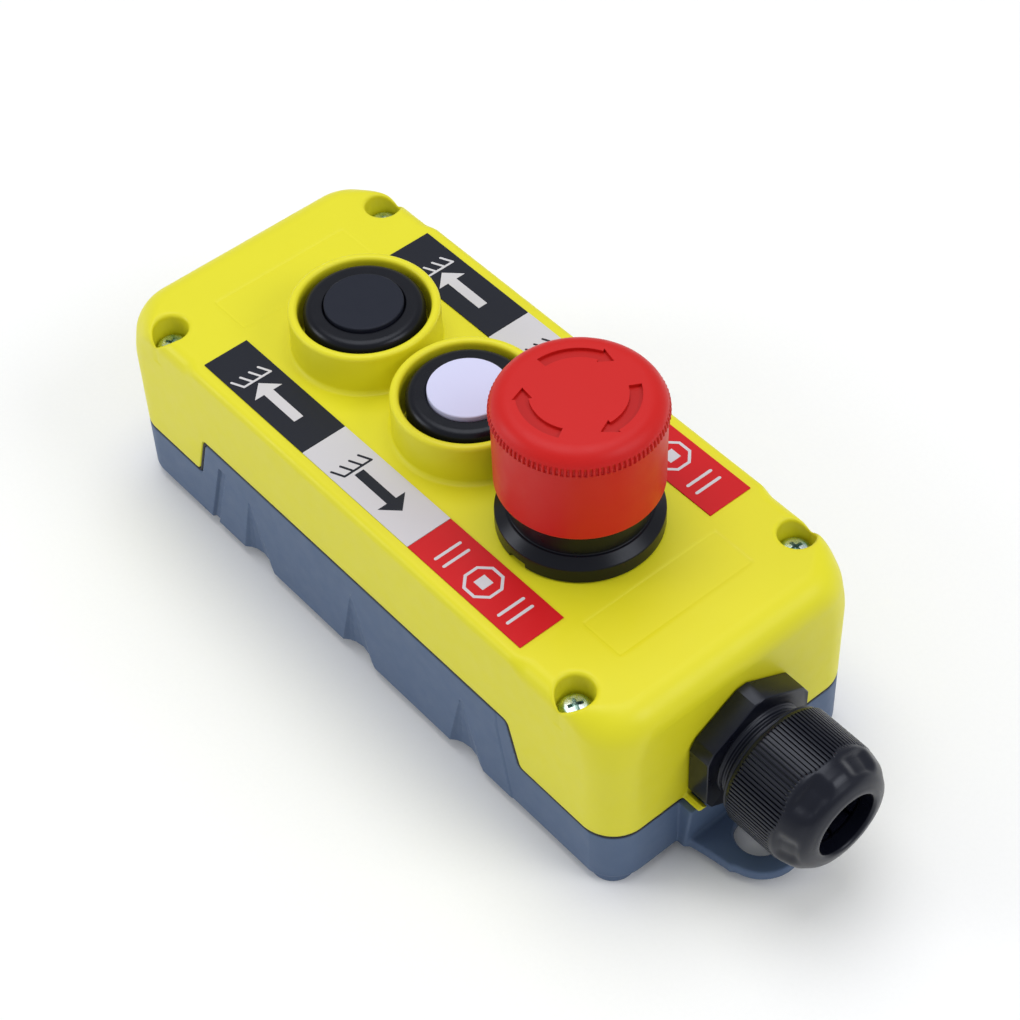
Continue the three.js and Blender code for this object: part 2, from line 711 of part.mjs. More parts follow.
// Ribbed barrel and dome, bored for the spigot and narrowed towards the cable's mouth.
function domeNut() {
  const back = NUT_BACK - HOUSING_HALF_LENGTH;
  const end = back + NUT_LENGTH;
  const domeStart = back + 15.8;
  const domeDepth = end - domeStart;
  const mouth = 8.4;
  const crown = 9.2; // radius where the dome meets its flat face
  const steps = 5;
  const dome = Array.from({ length: steps + 1 }, (_, k) => {
    const angle = (k / steps) * (Math.PI / 2);
    return [crown + (NUT_RADIUS - crown) * Math.cos(angle), domeStart + domeDepth * Math.sin(angle)];
  });
  return solid(turned([
    [SPIGOT_RADIUS + 0.4, back], [NUT_RADIUS - 0.4, back], [NUT_RADIUS, back + 0.6], ...dome,
    [mouth + 0.5, end], [mouth, end - 0.6], [mouth, end - 4], [11, end - 7],
    [SPIGOT_RADIUS + 0.4, end - 10],
  ], 24));
}

// ---------------------------------------------------------------- assembly

const station = new THREE.Group();
station.position.x = -(NUT_BACK + NUT_LENGTH - HOUSING_HALF_LENGTH) / 2;

function addTo(group, name, manifold, material) {
  const mesh = new THREE.Mesh(geometryOf(manifold), new THREE.MeshStandardMaterial(material));
  mesh.name = name;
  group.add(mesh);
  return mesh;
}

function addHousing() {
  addTo(station, 'front_cover', frontCover(), YELLOW);
  addTo(station, 'rear_base', rearBase(), SLATE);
  addTo(station, 'cover_gasket', coverGasket(), RUBBER);
  const screw = coverScrew();
  quarters.forEach(([signX, signY], k) => {
    const mesh = addTo(station, `cover_screw_${k + 1}`, screw, STEEL);
    mesh.position.set(signX * SCREW_X, signY * SCREW_Y, 0);
  });
}

function addLegends() {
  const finishes = [['raise', LABEL_BLACK], ['lower', LABEL_WHITE], ['stop', LABEL_RED]];
  const rows = [
    ['near', -LEGEND_OUTER_EDGE, -LEGEND_INNER_EDGE],
    ['far', LEGEND_INNER_EDGE, LEGEND_OUTER_EDGE],
  ];
  const halfLength = BUTTON_PITCH / 2 - 0.05;
  const bottom = COVER_TOP + 0.05;
  finishes.forEach(([meaning, finish], k) => {
    rows.forEach(([row, lowY, highY]) => {
      const plate = box(
        [buttonPlaces[k] - halfLength, lowY, bottom],
        [buttonPlaces[k] + halfLength, highY, bottom + LEGEND_THICKNESS],
      );
      addTo(station, `legend_${meaning}_${row}`, solid(plate), finish);
    });
  });
}

// The contact set below any of the three operators.
function addContacts(group, prefix, bridgeHeight) {
  addTo(group, `${prefix}_lock_nut`, lockNut(), BLACK);
  addTo(group, `${prefix}_contact_block`, contactBlock(), BLOCK_GREY);
  addTo(group, `${prefix}_contact_carrier`, contactCarrier(bridgeHeight), NYLON);
  addTo(group, `${prefix}_contact_bridge`, contactBridge(bridgeHeight), BRASS);
  [['near', -1], ['far', 1]].forEach(([row, side]) => {
    addTo(group, `${prefix}_fixed_contact_${row}`, fixedContact(side), BRASS);
    const screw = addTo(group, `${prefix}_terminal_screw_${row}`, terminalScrew(), STEEL);
    screw.position.y = side * TERMINAL_Y;
  });
}

function operatorGroup(x) {
  const group = new THREE.Group();
  group.position.set(x, 0, COVER_TOP);
  station.add(group);
  return group;
}

function addPushButton(name, x, capTop, capFinish) {
  const group = operatorGroup(x);
  const openBridge = CONTACT_TOP + GAP + BUTTON_TRAVEL;
  const returnSpring = spring({ radius: 6, wire: 0.45, bottom: -8.7, top: 6.6, turns: 5 });
  addTo(group, `${name}_bezel`, bezel(), BLACK);
  addTo(group, `${name}_cap`, cap(capTop), capFinish);
  addTo(group, `${name}_gasket`, panelGasket(14.6), RUBBER);
  addTo(group, `${name}_spring`, returnSpring, STEEL);
  addContacts(group, name, openBridge);
}

function addStopButton() {
  const group = operatorGroup(BUTTON_PITCH);
  const closedBridge = CONTACT_TOP - CONTACT_THICKNESS - GAP - BRIDGE_THICKNESS;
  const plungerSpring = spring({ radius: 7.6, wire: 0.5, bottom: -9.1, top: 2.7, turns: 4 });
  addTo(group, 'stop_button_flange', stopFlange(), BLACK);
  addTo(group, 'stop_button_head', stopHead(), RED);
  addTo(group, 'stop_button_plunger', stopPlunger(), NYLON);
  addTo(group, 'stop_button_gasket', panelGasket(17.6), RUBBER);
  addTo(group, 'stop_button_spring', plungerSpring, STEEL);
  addContacts(group, 'stop_button', closedBridge);
}

function addGland() {
  const group = new THREE.Group();
  group.position.set(HOUSING_HALF_LENGTH, 0, GLAND_HEIGHT);
  group.rotation.set(Math.PI, Math.PI / 2, 0, 'XYZ');
  station.add(group);
  addTo(group, 'gland_body', glandBody(), BLACK);
  addTo(group, 'gland_washer', glandWasher(), RUBBER);
  addTo(group, 'gland_lock_nut', glandLockNut(), BLACK);
  addTo(group, 'gland_seal', sealInsert(), RUBBER);
  addTo(group, 'gland_clamp_ring', clampRing(), BLACK);
  addTo(group, 'gland_dome_nut', domeNut(), BLACK);
}

addHousing();
addLegends();
addPushButton('raise_button', -BUTTON_PITCH, 12.9, BLACK);
addPushButton('lower_button', 0, 13.3, WHITE);
addStopButton();
addGland();

export default station;
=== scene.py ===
"""Looks of a pendant control station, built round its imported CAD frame.

Shapes are written in millimetres in the station's own coordinates: x from the middle button's
axis towards the cable gland, y across, z up from the plane that the feet stand on.
"""

import json
import math

import bmesh
import bpy
import numpy as np
from mathutils import Matrix, Vector


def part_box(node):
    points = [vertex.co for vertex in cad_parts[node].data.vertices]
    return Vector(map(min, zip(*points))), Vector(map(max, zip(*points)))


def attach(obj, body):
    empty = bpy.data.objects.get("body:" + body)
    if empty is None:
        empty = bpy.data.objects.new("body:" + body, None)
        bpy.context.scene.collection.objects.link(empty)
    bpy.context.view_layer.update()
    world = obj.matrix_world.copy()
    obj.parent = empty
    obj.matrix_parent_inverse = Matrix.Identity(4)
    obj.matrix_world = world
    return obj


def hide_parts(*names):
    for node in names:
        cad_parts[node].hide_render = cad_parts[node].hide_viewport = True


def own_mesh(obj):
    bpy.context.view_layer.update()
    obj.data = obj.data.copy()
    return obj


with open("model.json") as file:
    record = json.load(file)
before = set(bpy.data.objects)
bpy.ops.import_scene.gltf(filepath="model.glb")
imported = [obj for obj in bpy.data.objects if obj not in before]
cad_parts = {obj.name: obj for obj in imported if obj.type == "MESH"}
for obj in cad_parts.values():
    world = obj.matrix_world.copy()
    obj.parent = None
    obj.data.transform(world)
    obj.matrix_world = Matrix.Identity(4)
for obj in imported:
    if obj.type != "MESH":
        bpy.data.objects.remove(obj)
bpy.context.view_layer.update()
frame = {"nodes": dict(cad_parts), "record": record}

MM = 0.001


def middle_of(node):
    low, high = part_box(node)
    return (low + high) / 2


ORIGIN_X = middle_of("lower_button_bezel").x / MM
COVER_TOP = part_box("legend_lower_near")[0].z / MM - 0.05
BUTTON_PITCH = (middle_of("stop_button_flange").x - middle_of("lower_button_bezel").x) / MM
HALF_LENGTH = (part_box("rear_base")[0].x / MM - ORIGIN_X) * -1
HALF_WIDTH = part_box("front_cover")[1].y / MM
GLAND_HEIGHT = middle_of("gland_body").z / MM
GLAND_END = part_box("gland_dome_nut")[1].x / MM - ORIGIN_X
NUT_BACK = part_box("gland_dome_nut")[0].x / MM - ORIGIN_X
SCREW_X = middle_of("cover_screw_1").x / MM - ORIGIN_X
SCREW_Y = middle_of("cover_screw_3").y / MM

# Housing: walls, feet, and the parting line that steps down towards both ends.
CORNER_RADIUS = 9.5
WALL = 2.6
FOOT_HEIGHT = 2.5
FOOT_RADIUS = 5.5
FOOT_X, FOOT_Y = 85.2, 31.6
PARTING_MIDDLE = 32.35
PARTING_END = 18.8
PARTING_GAP = 0.9
STEP_TOP, STEP_BOTTOM = 57, 61
BACK_STEP_SHIFT = 2.0
GRIP_STARTS = (-47.6, -6.9, 34.4)
GRIP_TOP = 26

# Openings in the cover: guard collars, operator holes and screw wells.
COLLAR_MIDDLE, COLLAR_INSIDE = 17.45, 16.3
COLLAR_HEIGHT = 11.8
OPERATOR_HOLE = 11.2
SCREW_SEAT = 49.6
WELL_RADIUS = 4.5

# Operators: their places, and the legends that go with them.
BUTTONS = {"raise_button": -BUTTON_PITCH, "lower_button": 0.0}
STOP_X = BUTTON_PITCH
LEGENDS = {
    "raise": (-BUTTON_PITCH, "legend_black"),
    "lower": (0.0, "legend_white"),
    "stop": (STOP_X, "legend_red"),
}

# Gland.
HEX_ACROSS_FLATS = 31.2
HEX_POCKET = HEX_ACROSS_FLATS + 0.6
SPIGOT_RADIUS = 12.5
SPIGOT_PITCH = 1.5
NUT_RIBS = 94
NUT_SCOOPS = 6


# ---------------------------------------------------------------- distance fields

# A field takes x, y and z arrays and gives the distance to a surface, negative inside it.


def both(a, b, fillet=0.0):
    """The part of space inside both fields, with a rounded edge between them."""
    if np.isscalar(fillet) and fillet == 0:
        return np.maximum(a, b)
    corner = np.hypot(np.maximum(a + fillet, 0), np.maximum(b + fillet, 0))
    return np.minimum(np.maximum(a, b), -fillet) + corner


def either(a, b, fillet=0.0):
    """The two fields joined, with a rounded corner between them."""
    return -both(-a, -b, fillet)


def without(a, b, fillet=0.0):
    """The first field with the second cut out of it."""
    return both(a, -b, fillet)


def rectangle(x, y, half_x, half_y, corner):
    """A rectangle round the origin with rounded corners."""
    across = np.abs(x) - (half_x - corner)
    along = np.abs(y) - (half_y - corner)
    outside = np.hypot(np.maximum(across, 0), np.maximum(along, 0))
    return outside + np.minimum(np.maximum(across, along), 0) - corner


def slope(x, z, start, end):
    """Half space to the left of a line from start to end, both given as (x, z)."""
    run, rise = end[0] - start[0], end[1] - start[1]
    length = math.hypot(run, rise)
    return ((x - start[0]) * rise - (z - start[1]) * run) / length


def hexagon(y, z, across_flats):
    """A hexagon with a corner at the top, seen along the gland's axis."""
    half = across_flats / 2
    side = np.abs(y)
    tilted = np.abs(z) * math.sin(math.pi / 3) + side * 0.5
    return np.maximum(side, tilted) - half


def smooth_step(value):
    clipped = np.clip(value, 0, 1)
    return clipped * clipped * (3 - 2 * clipped)


def above_parting(x, z, gap):
    """The space above the stepped parting line, whose step lies further out at the back end."""
    far = np.abs(x) - np.where(x < 0, BACK_STEP_SHIFT, 0.0)
    end = PARTING_END + gap - z
    middle = PARTING_MIDDLE + gap - z
    top = (STEP_TOP + gap, PARTING_MIDDLE + gap)
    bottom = (STEP_BOTTOM + gap, PARTING_END + gap)
    step = slope(far, z, top, bottom)
    return both(end, either(middle, step, 1.2), 1.2)


def screw_distance(x, y):
    return np.hypot(np.abs(x) - SCREW_X, np.abs(y) - SCREW_Y)


def nearest_button(x, y, centres):
    return np.min([np.hypot(x - centre, y) for centre in centres], axis=0)


def cover_outside(x, y, z):
    """The cover without its hollow: a tight top edge beside the legends, a softer one beyond."""
    far = np.abs(x)
    fillet = 2.2 + 2.0 * smooth_step((far - 58.6) / 5) + 3.3 * smooth_step((far - 77) / 9)
    corner = CORNER_RADIUS + 4.0 * smooth_step((z - 42) / 14)
    panel = rectangle(far - 68.75, y, 6.25, 20.3, 0.8)
    top = z - COVER_TOP + 0.14 * smooth_step(0.5 - panel / 0.8)
    return both(rectangle(x, y, HALF_LENGTH, HALF_WIDTH, corner), top, fillet)


def cover_tongue(x, y, z):
    """The low tongue that the cover reaches out with under the gland."""
    side = (np.abs(y) - 17.5) * 0.59 + (z - PARTING_END) * 0.81
    block = both(both(side, z - PARTING_END - 2.2, 0.6), x - HALF_LENGTH - 5.5, 0.6)
    block = both(block, HALF_LENGTH - WALL - x)
    return without(block, hexagon(y, z - GLAND_HEIGHT, HEX_POCKET))


def cover_field(x, y, z):
    """The front cover: a hollow shell with two guard collars, screw wells and round openings."""
    outside = either(cover_outside(x, y, z), cover_tongue(x, y, z), 0.5)
    corner = CORNER_RADIUS - WALL + 5.0 * smooth_step((z - 38) / 12)
    plan = rectangle(x, y, HALF_LENGTH - WALL, HALF_WIDTH - WALL, corner)
    cavity = both(plan, z - (COVER_TOP - 3), 3.5 + 3.3 * smooth_step((np.abs(x) - 74) / 9))
    cavity = without(cavity, screw_distance(x, y) - 6.4, 0.8)
    ring = nearest_button(x, y, BUTTONS.values())
    collar = both(np.abs(ring - COLLAR_MIDDLE) - 1.15, z - COVER_TOP - COLLAR_HEIGHT, 1.0)
    collar = both(collar, COVER_TOP - 1 - z)
    shell = either(without(outside, cavity), collar, 1.3)
    shell = without(shell, both(ring - COLLAR_INSIDE, COVER_TOP - z))
    holes = nearest_button(x, y, [*BUTTONS.values(), STOP_X]) - OPERATOR_HOLE
    shell = without(shell, holes, 0.3)
    shell = without(shell, both(screw_distance(x, y) - WELL_RADIUS, SCREW_SEAT - z), 1.1)
    shell = without(shell, screw_distance(x, y) - 2.3)
    entry = both(np.hypot(y, z - GLAND_HEIGHT) - 9.9, HALF_LENGTH - 20 - x)
    shell = without(shell, entry)
    return both(shell, above_parting(x, z, PARTING_GAP / 2), 0.25)


def grip_depth(x, z):
    """How deep the finger grips are cut into the base's sides."""
    depth = np.zeros_like(x)
    reach = [0, 0.1, 0.22, 0.42, 0.66, 0.85, 1]
    section = [0, 0.48, 0.8, 1, 0.8, 0.3, 0]
    for start in GRIP_STARTS:
        share = np.clip((GRIP_TOP - z) / 25, 0, 1.1)
        along = (x - start - 6.2 * (1 - share)) / np.maximum(13.8 * share, 0.05)
        bend = np.interp(along, reach, section)
        depth = np.maximum(depth, 2.4 * share * bend)
    return depth


def side_relief(x, y, z):
    """Grips, a slanting groove and a faint crease in the base's long sides."""
    depth = grip_depth(x, z)
    away = np.abs(x - np.interp(z, [2.5, 26.5], [-59.8, -52.6]))
    groove = smooth_step((1.6 - away) / 0.7) * smooth_step((27.2 - z) / 0.8)
    depth = np.maximum(depth, 0.8 * groove * (y < 0))
    crease = x - np.interp(z, [3.7, 26.4], [57.5, 53.1])
    return depth + 0.22 * smooth_step(crease / 0.7)


def lug_field(x, y, z):
    """The flat hanging lug with its round-ended slot."""
    side = np.abs(y)
    root = both(side - 17.2, ((x - 94) * 3.2 + (side - 17.2) * 11.5) / 11.94)
    root = both(root, x - 105.5)
    tip = rectangle(x - 100.5, y, 15, 14, 10)
    slot = np.hypot(x - 104.6, np.maximum(side - 3.5, 0)) - 6
    outline = without(either(root, tip, 3), slot)
    outline = both(outline, HALF_LENGTH - 4 - x)
    return both(outline, np.abs(z - FOOT_HEIGHT - 1.5) - 1.5, 0.6)


def base_block(x, y, z):
    """The block under the gland that stands out from the base's end."""
    front = slope(x, z, (94.6, 3), (97.1, PARTING_END + 5))
    block = both(both(front, np.abs(y) - 17.9, 0.5), FOOT_HEIGHT + 0.5 - z)
    return both(block, HALF_LENGTH - 1.5 - x)


def base_field(x, y, z):
    """The rear base: a tray with feet, gland block and lug, and a groove for the seal."""
    plan = rectangle(x, y, HALF_LENGTH, HALF_WIDTH, CORNER_RADIUS)
    plan = both(plan, np.abs(y) - HALF_WIDTH + side_relief(x, y, z))
    outside = both(plan, FOOT_HEIGHT - z, 1)
    inner = rectangle(x, y, HALF_LENGTH - WALL, HALF_WIDTH - WALL, CORNER_RADIUS - WALL)
    cavity = both(inner, FOOT_HEIGHT + WALL - z, 1.5)
    cavity = without(cavity, screw_distance(x, y) - 5.8, 0.8)
    shell = either(without(outside, cavity), base_block(x, y, z), 0.4)
    shell = both(either(shell, lug_field(x, y, z), 1), FOOT_HEIGHT - z)
    feet = both(np.hypot(np.abs(x) - FOOT_X, np.abs(y) - FOOT_Y) - FOOT_RADIUS, -z, 0.5)
    shell = either(shell, both(feet, z - FOOT_HEIGHT - 1), 0.5)
    shell = without(shell, both(hexagon(y, z - GLAND_HEIGHT, HEX_POCKET), HALF_LENGTH - x))
    shell = without(shell, both(screw_distance(x, y) - 2.2, 7 - z))
    shell = both(shell, -above_parting(x, z, -PARTING_GAP / 2), 0.25)
    below = -above_parting(x, z, -1.6)
    outer = rectangle(x, y, HALF_LENGTH - 0.8, HALF_WIDTH - 0.8, CORNER_RADIUS - 0.8)
    inner = rectangle(x, y, HALF_LENGTH - 2, HALF_WIDTH - 2, CORNER_RADIUS - 2)
    return without(shell, both(both(outer, -inner), -below))


def gasket_field(x, y, z):
    """The seal between the shells: a bead in the base's groove, which is the real seal, and a lip of
    black rubber that fills the gap nearly to the shells' faces as painted shade for the gap.
    """
    def inset(by):
        return rectangle(x, y, HALF_LENGTH - by, HALF_WIDTH - by, CORNER_RADIUS - by)

    inside = inset(1.85)
    above = above_parting(x, z, 0)
    # Painted shade: a dark sheet out to the shells' faces, standing in for the shade in the gap
    # between them.
    shade_lip = both(both(inset(0.1), -inside), np.abs(above) - 0.4, 0.1)
    bead = both(both(inset(0.95), -inside), np.abs(above + 0.7) - 0.6, 0.2)
    return either(shade_lip, bead)


# ---------------------------------------------------------------- meshes


def to_frame(points):
    """Station millimetres to the row frame's metres."""
    return (np.asarray(points, float) + [ORIGIN_X, 0, 0]) * MM


def mesh_object(name, points, faces):
    """A new object in the scene, from points in station millimetres."""
    mesh = bpy.data.meshes.new(name)
    mesh.from_pydata(to_frame(points).tolist(), [], faces)
    obj = bpy.data.objects.new(name, mesh)
    bpy.context.scene.collection.objects.link(obj)
    return obj


def gradient(field, points, reach=0.02):
    """Unit vectors along which the field grows fastest at the given points."""
    normals = np.empty_like(points)
    for axis in range(3):
        ahead, behind = points.copy(), points.copy()
        ahead[:, axis] += reach
        behind[:, axis] -= reach
        normals[:, axis] = field(*ahead.T) - field(*behind.T)
    return normals / np.maximum(np.linalg.norm(normals, axis=1, keepdims=True), 1e-9)


def sample(field, low, counts, step):
    """The field's values on a regular grid, worked out slab by slab."""
    axes = [low[k] + step * np.arange(counts[k]) for k in range(3)]
    y, z = np.meshgrid(axes[1], axes[2], indexing="ij")
    slabs = [field(np.full_like(y, x), y, z) for x in axes[0]]
    return np.stack(slabs)


def crossings(field, values, low, step, axis):
    """Grid edges along one axis that pass through the surface: their cell, point and sense."""
    before, after = [slice(None)] * 3, [slice(None)] * 3
    before[axis], after[axis] = slice(0, -1), slice(1, None)
    a, b = values[tuple(before)], values[tuple(after)]
    cells = np.argwhere((a < 0) != (b < 0))
    near, far = a[tuple(cells.T)], b[tuple(cells.T)]
    leaving = near < 0
    low_end, high_end = np.zeros(len(cells)), np.ones(len(cells))
    for _ in range(3):
        share = low_end + (high_end - low_end) * near / (near - far)
        points = low + step * cells
        points[:, axis] += step * share
        found = field(*points.T)
        same = (found < 0) == leaving
        low_end, near = np.where(same, share, low_end), np.where(same, found, near)
        high_end, far = np.where(same, high_end, share), np.where(same, far, found)
    return cells, points, leaving


def place_vertices(owner, points, normals, centres, step):
    """One vertex per cell, where the planes through its crossings come closest together."""
    count = len(centres)
    weights = np.bincount(owner, minlength=count)

    def gather(column):
        return np.bincount(owner, weights=column, minlength=count)

    mean = np.stack([gather(points[:, k]) for k in range(3)], 1) / weights[:, None]
    offset = np.einsum("ij,ij->i", points - mean[owner], normals)
    system = np.empty((count, 3, 3))
    for i in range(3):
        for j in range(3):
            system[:, i, j] = gather(normals[:, i] * normals[:, j])
    system += np.eye(3) * 0.06
    right = np.stack([gather(normals[:, k] * offset) for k in range(3)], 1)
    vertices = mean + np.linalg.solve(system, right[..., None])[..., 0]
    return np.clip(vertices, centres - 0.5 * step, centres + 0.5 * step)


def cells_round(edges, axis, counts):
    """The four cells round each grid edge along an axis, in turning order."""
    sides = [(axis + 1) % 3, (axis + 2) % 3]
    corners = []
    for back in ((1, 1), (0, 1), (0, 0), (1, 0)):
        cell = edges.copy()
        cell[:, sides] -= back
        corners.append(np.ravel_multi_index(cell.T, counts))
    return np.stack(corners, 1)


def contour(field, low, high, step):
    """A mesh of the field's zero surface that keeps its sharp edges."""
    low = np.array(low, float)
    counts = np.ceil((np.array(high) - low) / step).astype(int) + 1
    values = sample(field, low, counts, step)
    owners, points, quads = [], [], []
    for axis in range(3):
        edges, crossing, leaving = crossings(field, values, low, step, axis)
        corners = cells_round(edges, axis, counts)
        owners.append(corners.ravel())
        points.append(np.repeat(crossing, 4, axis=0))
        quads.append(np.where(leaving[:, None], corners, corners[:, ::-1]))
    owners, points = np.concatenate(owners), np.concatenate(points)
    cells, owner = np.unique(owners, return_inverse=True)
    centres = low + step * (np.stack(np.unravel_index(cells, counts), 1) + 0.5)
    normals = gradient(field, points)
    vertices = place_vertices(owner, points, normals, centres, step)
    faces = np.searchsorted(cells, np.concatenate(quads))
    return vertices, faces


def applied(obj):
    """Replaces an object's mesh with what its modifiers make of it."""
    graph = bpy.context.evaluated_depsgraph_get()
    mesh = bpy.data.meshes.new_from_object(obj.evaluated_get(graph))
    obj.modifiers.clear()
    obj.data = mesh
    return obj


def corners_of(mesh):
    """A mesh's vertices in millimetres from the middle button's axis."""
    points = np.empty(len(mesh.vertices) * 3)
    mesh.vertices.foreach_get("co", points)
    return points.reshape(-1, 3) / MM - [ORIGIN_X, 0, 0]


def settle(obj, field):
    """Moves vertices that thinning left off the field's surface back onto it."""
    points = corners_of(obj.data)
    off = np.clip(field(*points.T), -0.3, 0.3)
    points -= off[:, None] * gradient(field, points)
    obj.data.vertices.foreach_set("co", to_frame(points).ravel())
    obj.data.update()


def shade_by_field(obj, field):
    """Corner normals from the field, so that fillets are smooth and edges stay sharp."""
    mesh = obj.data
    owner = np.empty(len(mesh.loops), int)
    mesh.loops.foreach_get("vertex_index", owner)
    points = corners_of(mesh)
    totals = np.empty(len(mesh.polygons), int)
    mesh.polygons.foreach_get("loop_total", totals)
    starts = np.concatenate([[0], np.cumsum(totals)[:-1]])
    middles = np.add.reduceat(points[owner], starts) / totals[:, None]
    inset = points[owner] * 0.75 + np.repeat(middles, totals, axis=0) * 0.25
    shared = gradient(field, points)[owner]
    own = gradient(field, inset)
    smooth = np.einsum("ij,ij->i", shared, own) > math.cos(math.radians(24))
    normals = np.where(smooth[:, None], shared, own)
    mesh.shade_smooth()
    mesh.normals_split_custom_set(normals.tolist())


def skin(name, field, low, high, step, keep):
    """A piece's surface from its field, thinned to the given share of its faces."""
    vertices, faces = contour(field, low, high, step)
    obj = mesh_object(name, vertices, faces.tolist())
    thin = obj.modifiers.new("thin", "DECIMATE")
    thin.ratio = keep
    applied(obj)
    settle(obj, field)
    shade_by_field(obj, field)
    return obj


def arc(centre, start, end):
    """Points round a centre, from one spoke to another."""
    turn = math.atan2(start[0] * end[1] - start[1] * end[0], start @ end)
    steps = max(3, math.ceil(abs(turn) / math.radians(15)))
    points = []
    for i in range(steps + 1):
        c, s = math.cos(turn * i / steps), math.sin(turn * i / steps)
        points.append(centre + [start[0] * c - start[1] * s, start[0] * s + start[1] * c])
    return points


def rounded(profile, hold=0.07):
    """Rounds the corners of a closed profile of (radius, height, fillet) points.

    A further point is held just beyond each end of a fillet, so that the flat next to it
    still looks flat when the shading is smoothed. A corner that is straight stays as it is.
    """
    corners = [np.array(point[:2], float) for point in profile]
    outline = []
    for k, (corner, point) in enumerate(zip(corners, profile)):
        fillet = point[2] if len(point) > 2 else 0
        if fillet == 0:
            outline.append(corner)
            continue
        before = corners[k - 1] - corner
        after = corners[(k + 1) % len(corners)] - corner
        lengths = np.linalg.norm(before), np.linalg.norm(after)
        before, after = before / lengths[0], after / lengths[1]
        half = math.acos(np.clip(before @ after, -1, 1)) / 2
        if half > math.radians(89.9):
            outline.append(corner)
            continue
        reach = fillet / math.tan(half)
        inward = (before + after) / np.linalg.norm(before + after)
        centre = corner + inward * fillet / math.sin(half)
        if reach + 2 * hold < lengths[0]:
            outline.append(corner + before * (reach + hold))
        outline += arc(centre, corner + before * reach - centre, corner + after * reach - centre)
        if reach + 2 * hold < lengths[1]:
            outline.append(corner + after * (reach + hold))
    return np.array(outline)


def refined(outline, longest):
    """Adds points so that no step of a closed outline is longer than given."""
    points = []
    for k, start in enumerate(outline):
        end = outline[(k + 1) % len(outline)]
        steps = max(1, math.ceil(np.linalg.norm(end - start) / longest))
        points += [start + (end - start) * i / steps for i in range(steps)]
    return np.array(points)


def turned(name, profile, place, sides=128, ripple=None, longest=None, sharp=32):
    """A body of revolution. ripple(radius, height, angle) moves its surface in or out."""
    outline = rounded(profile)
    if longest:
        outline = refined(outline, longest)
    angles = np.arange(sides) * 2 * math.pi / sides
    radius = outline[:, 0][:, None] + 0 * angles
    height = outline[:, 1][:, None] + 0 * angles
    if ripple:
        radius = radius + ripple(radius, height, angles[None, :] + 0 * radius)
    points = np.stack([radius * np.cos(angles), radius * np.sin(angles), height], -1)
    count = len(outline)
    faces = []
    for j in range(count):
        here, above = j * sides, ((j + 1) % count) * sides
        if outline[j][0] < 1e-6 and outline[(j + 1) % count][0] < 1e-6:
            continue
        for k in range(sides):
            following = (k + 1) % sides
            faces.append((here + k, here + following, above + following, above + k))
    obj = mesh_object(name, place(points.reshape(-1, 3)), faces)
    weld(obj)
    shade(obj, sharp)
    return obj


def weld(obj):
    """Joins the points that meet on a turned piece's axis."""
    body = bmesh.new()
    body.from_mesh(obj.data)
    bmesh.ops.remove_doubles(body, verts=body.verts, dist=1e-7)
    bmesh.ops.dissolve_degenerate(body, edges=body.edges, dist=1e-8)
    body.to_mesh(obj.data)
    body.free()


def shade(obj, sharp=32):
    obj.data.shade_smooth()
    obj.data.set_sharp_from_angle(angle=math.radians(sharp))


def upright(x, y=0.0, base=COVER_TOP):
    """Places a turned piece on a vertical axis."""
    return lambda points: points + [x, y, base]


def along_gland(points):
    """Places a turned piece on the gland's axis, with its own x pointing up."""
    return np.stack([
        points[:, 2] + HALF_LENGTH,
        -points[:, 1],
        points[:, 0] + GLAND_HEIGHT,
    ], 1)


def prism(name, outline, bottom, top):
    """An outline in x and y, drawn out from one height to another."""
    count = len(outline)
    points = [(x, y, bottom) for x, y in outline] + [(x, y, top) for x, y in outline]
    faces = [tuple(range(count))[::-1], tuple(range(count, 2 * count))]
    faces += [(k, (k + 1) % count, count + (k + 1) % count, count + k) for k in range(count)]
    return mesh_object(name, points, faces)


def move(obj, place):
    """Runs a piece's points, in station millimetres, through a placing function."""
    points = place(corners_of(obj.data))
    obj.data.vertices.foreach_set("co", to_frame(points).astype(np.float32).ravel())
    obj.data.update()
    return obj


def bevelled(obj, width):
    """Rounds a piece's sharp edges."""
    bevel = obj.modifiers.new("edges", "BEVEL")
    bevel.width = width * MM
    bevel.segments = 3
    bevel.limit_method = "ANGLE"
    bevel.angle_limit = math.radians(30)
    bevel.harden_normals = True
    obj.data.shade_smooth()
    return applied(obj)


def carved(obj, tools, sharp=32):
    """Cuts other solids out of a piece."""
    for tool in tools:
        cut = obj.modifiers.new("cut", "BOOLEAN")
        cut.operation = "DIFFERENCE"
        cut.solver = "EXACT"
        cut.object = tool
        applied(obj)
        bpy.data.objects.remove(tool)
    shade(obj, sharp)
    return obj


# ---------------------------------------------------------------- materials


def linear(red, green, blue):
    """An sRGB colour from 0 to 255 as the linear values that a shader takes."""
    def channel(value):
        share = value / 255
        return share / 12.92 if share <= 0.04045 else ((share + 0.055) / 1.055) ** 2.4

    return (channel(red), channel(green), channel(blue), 1)


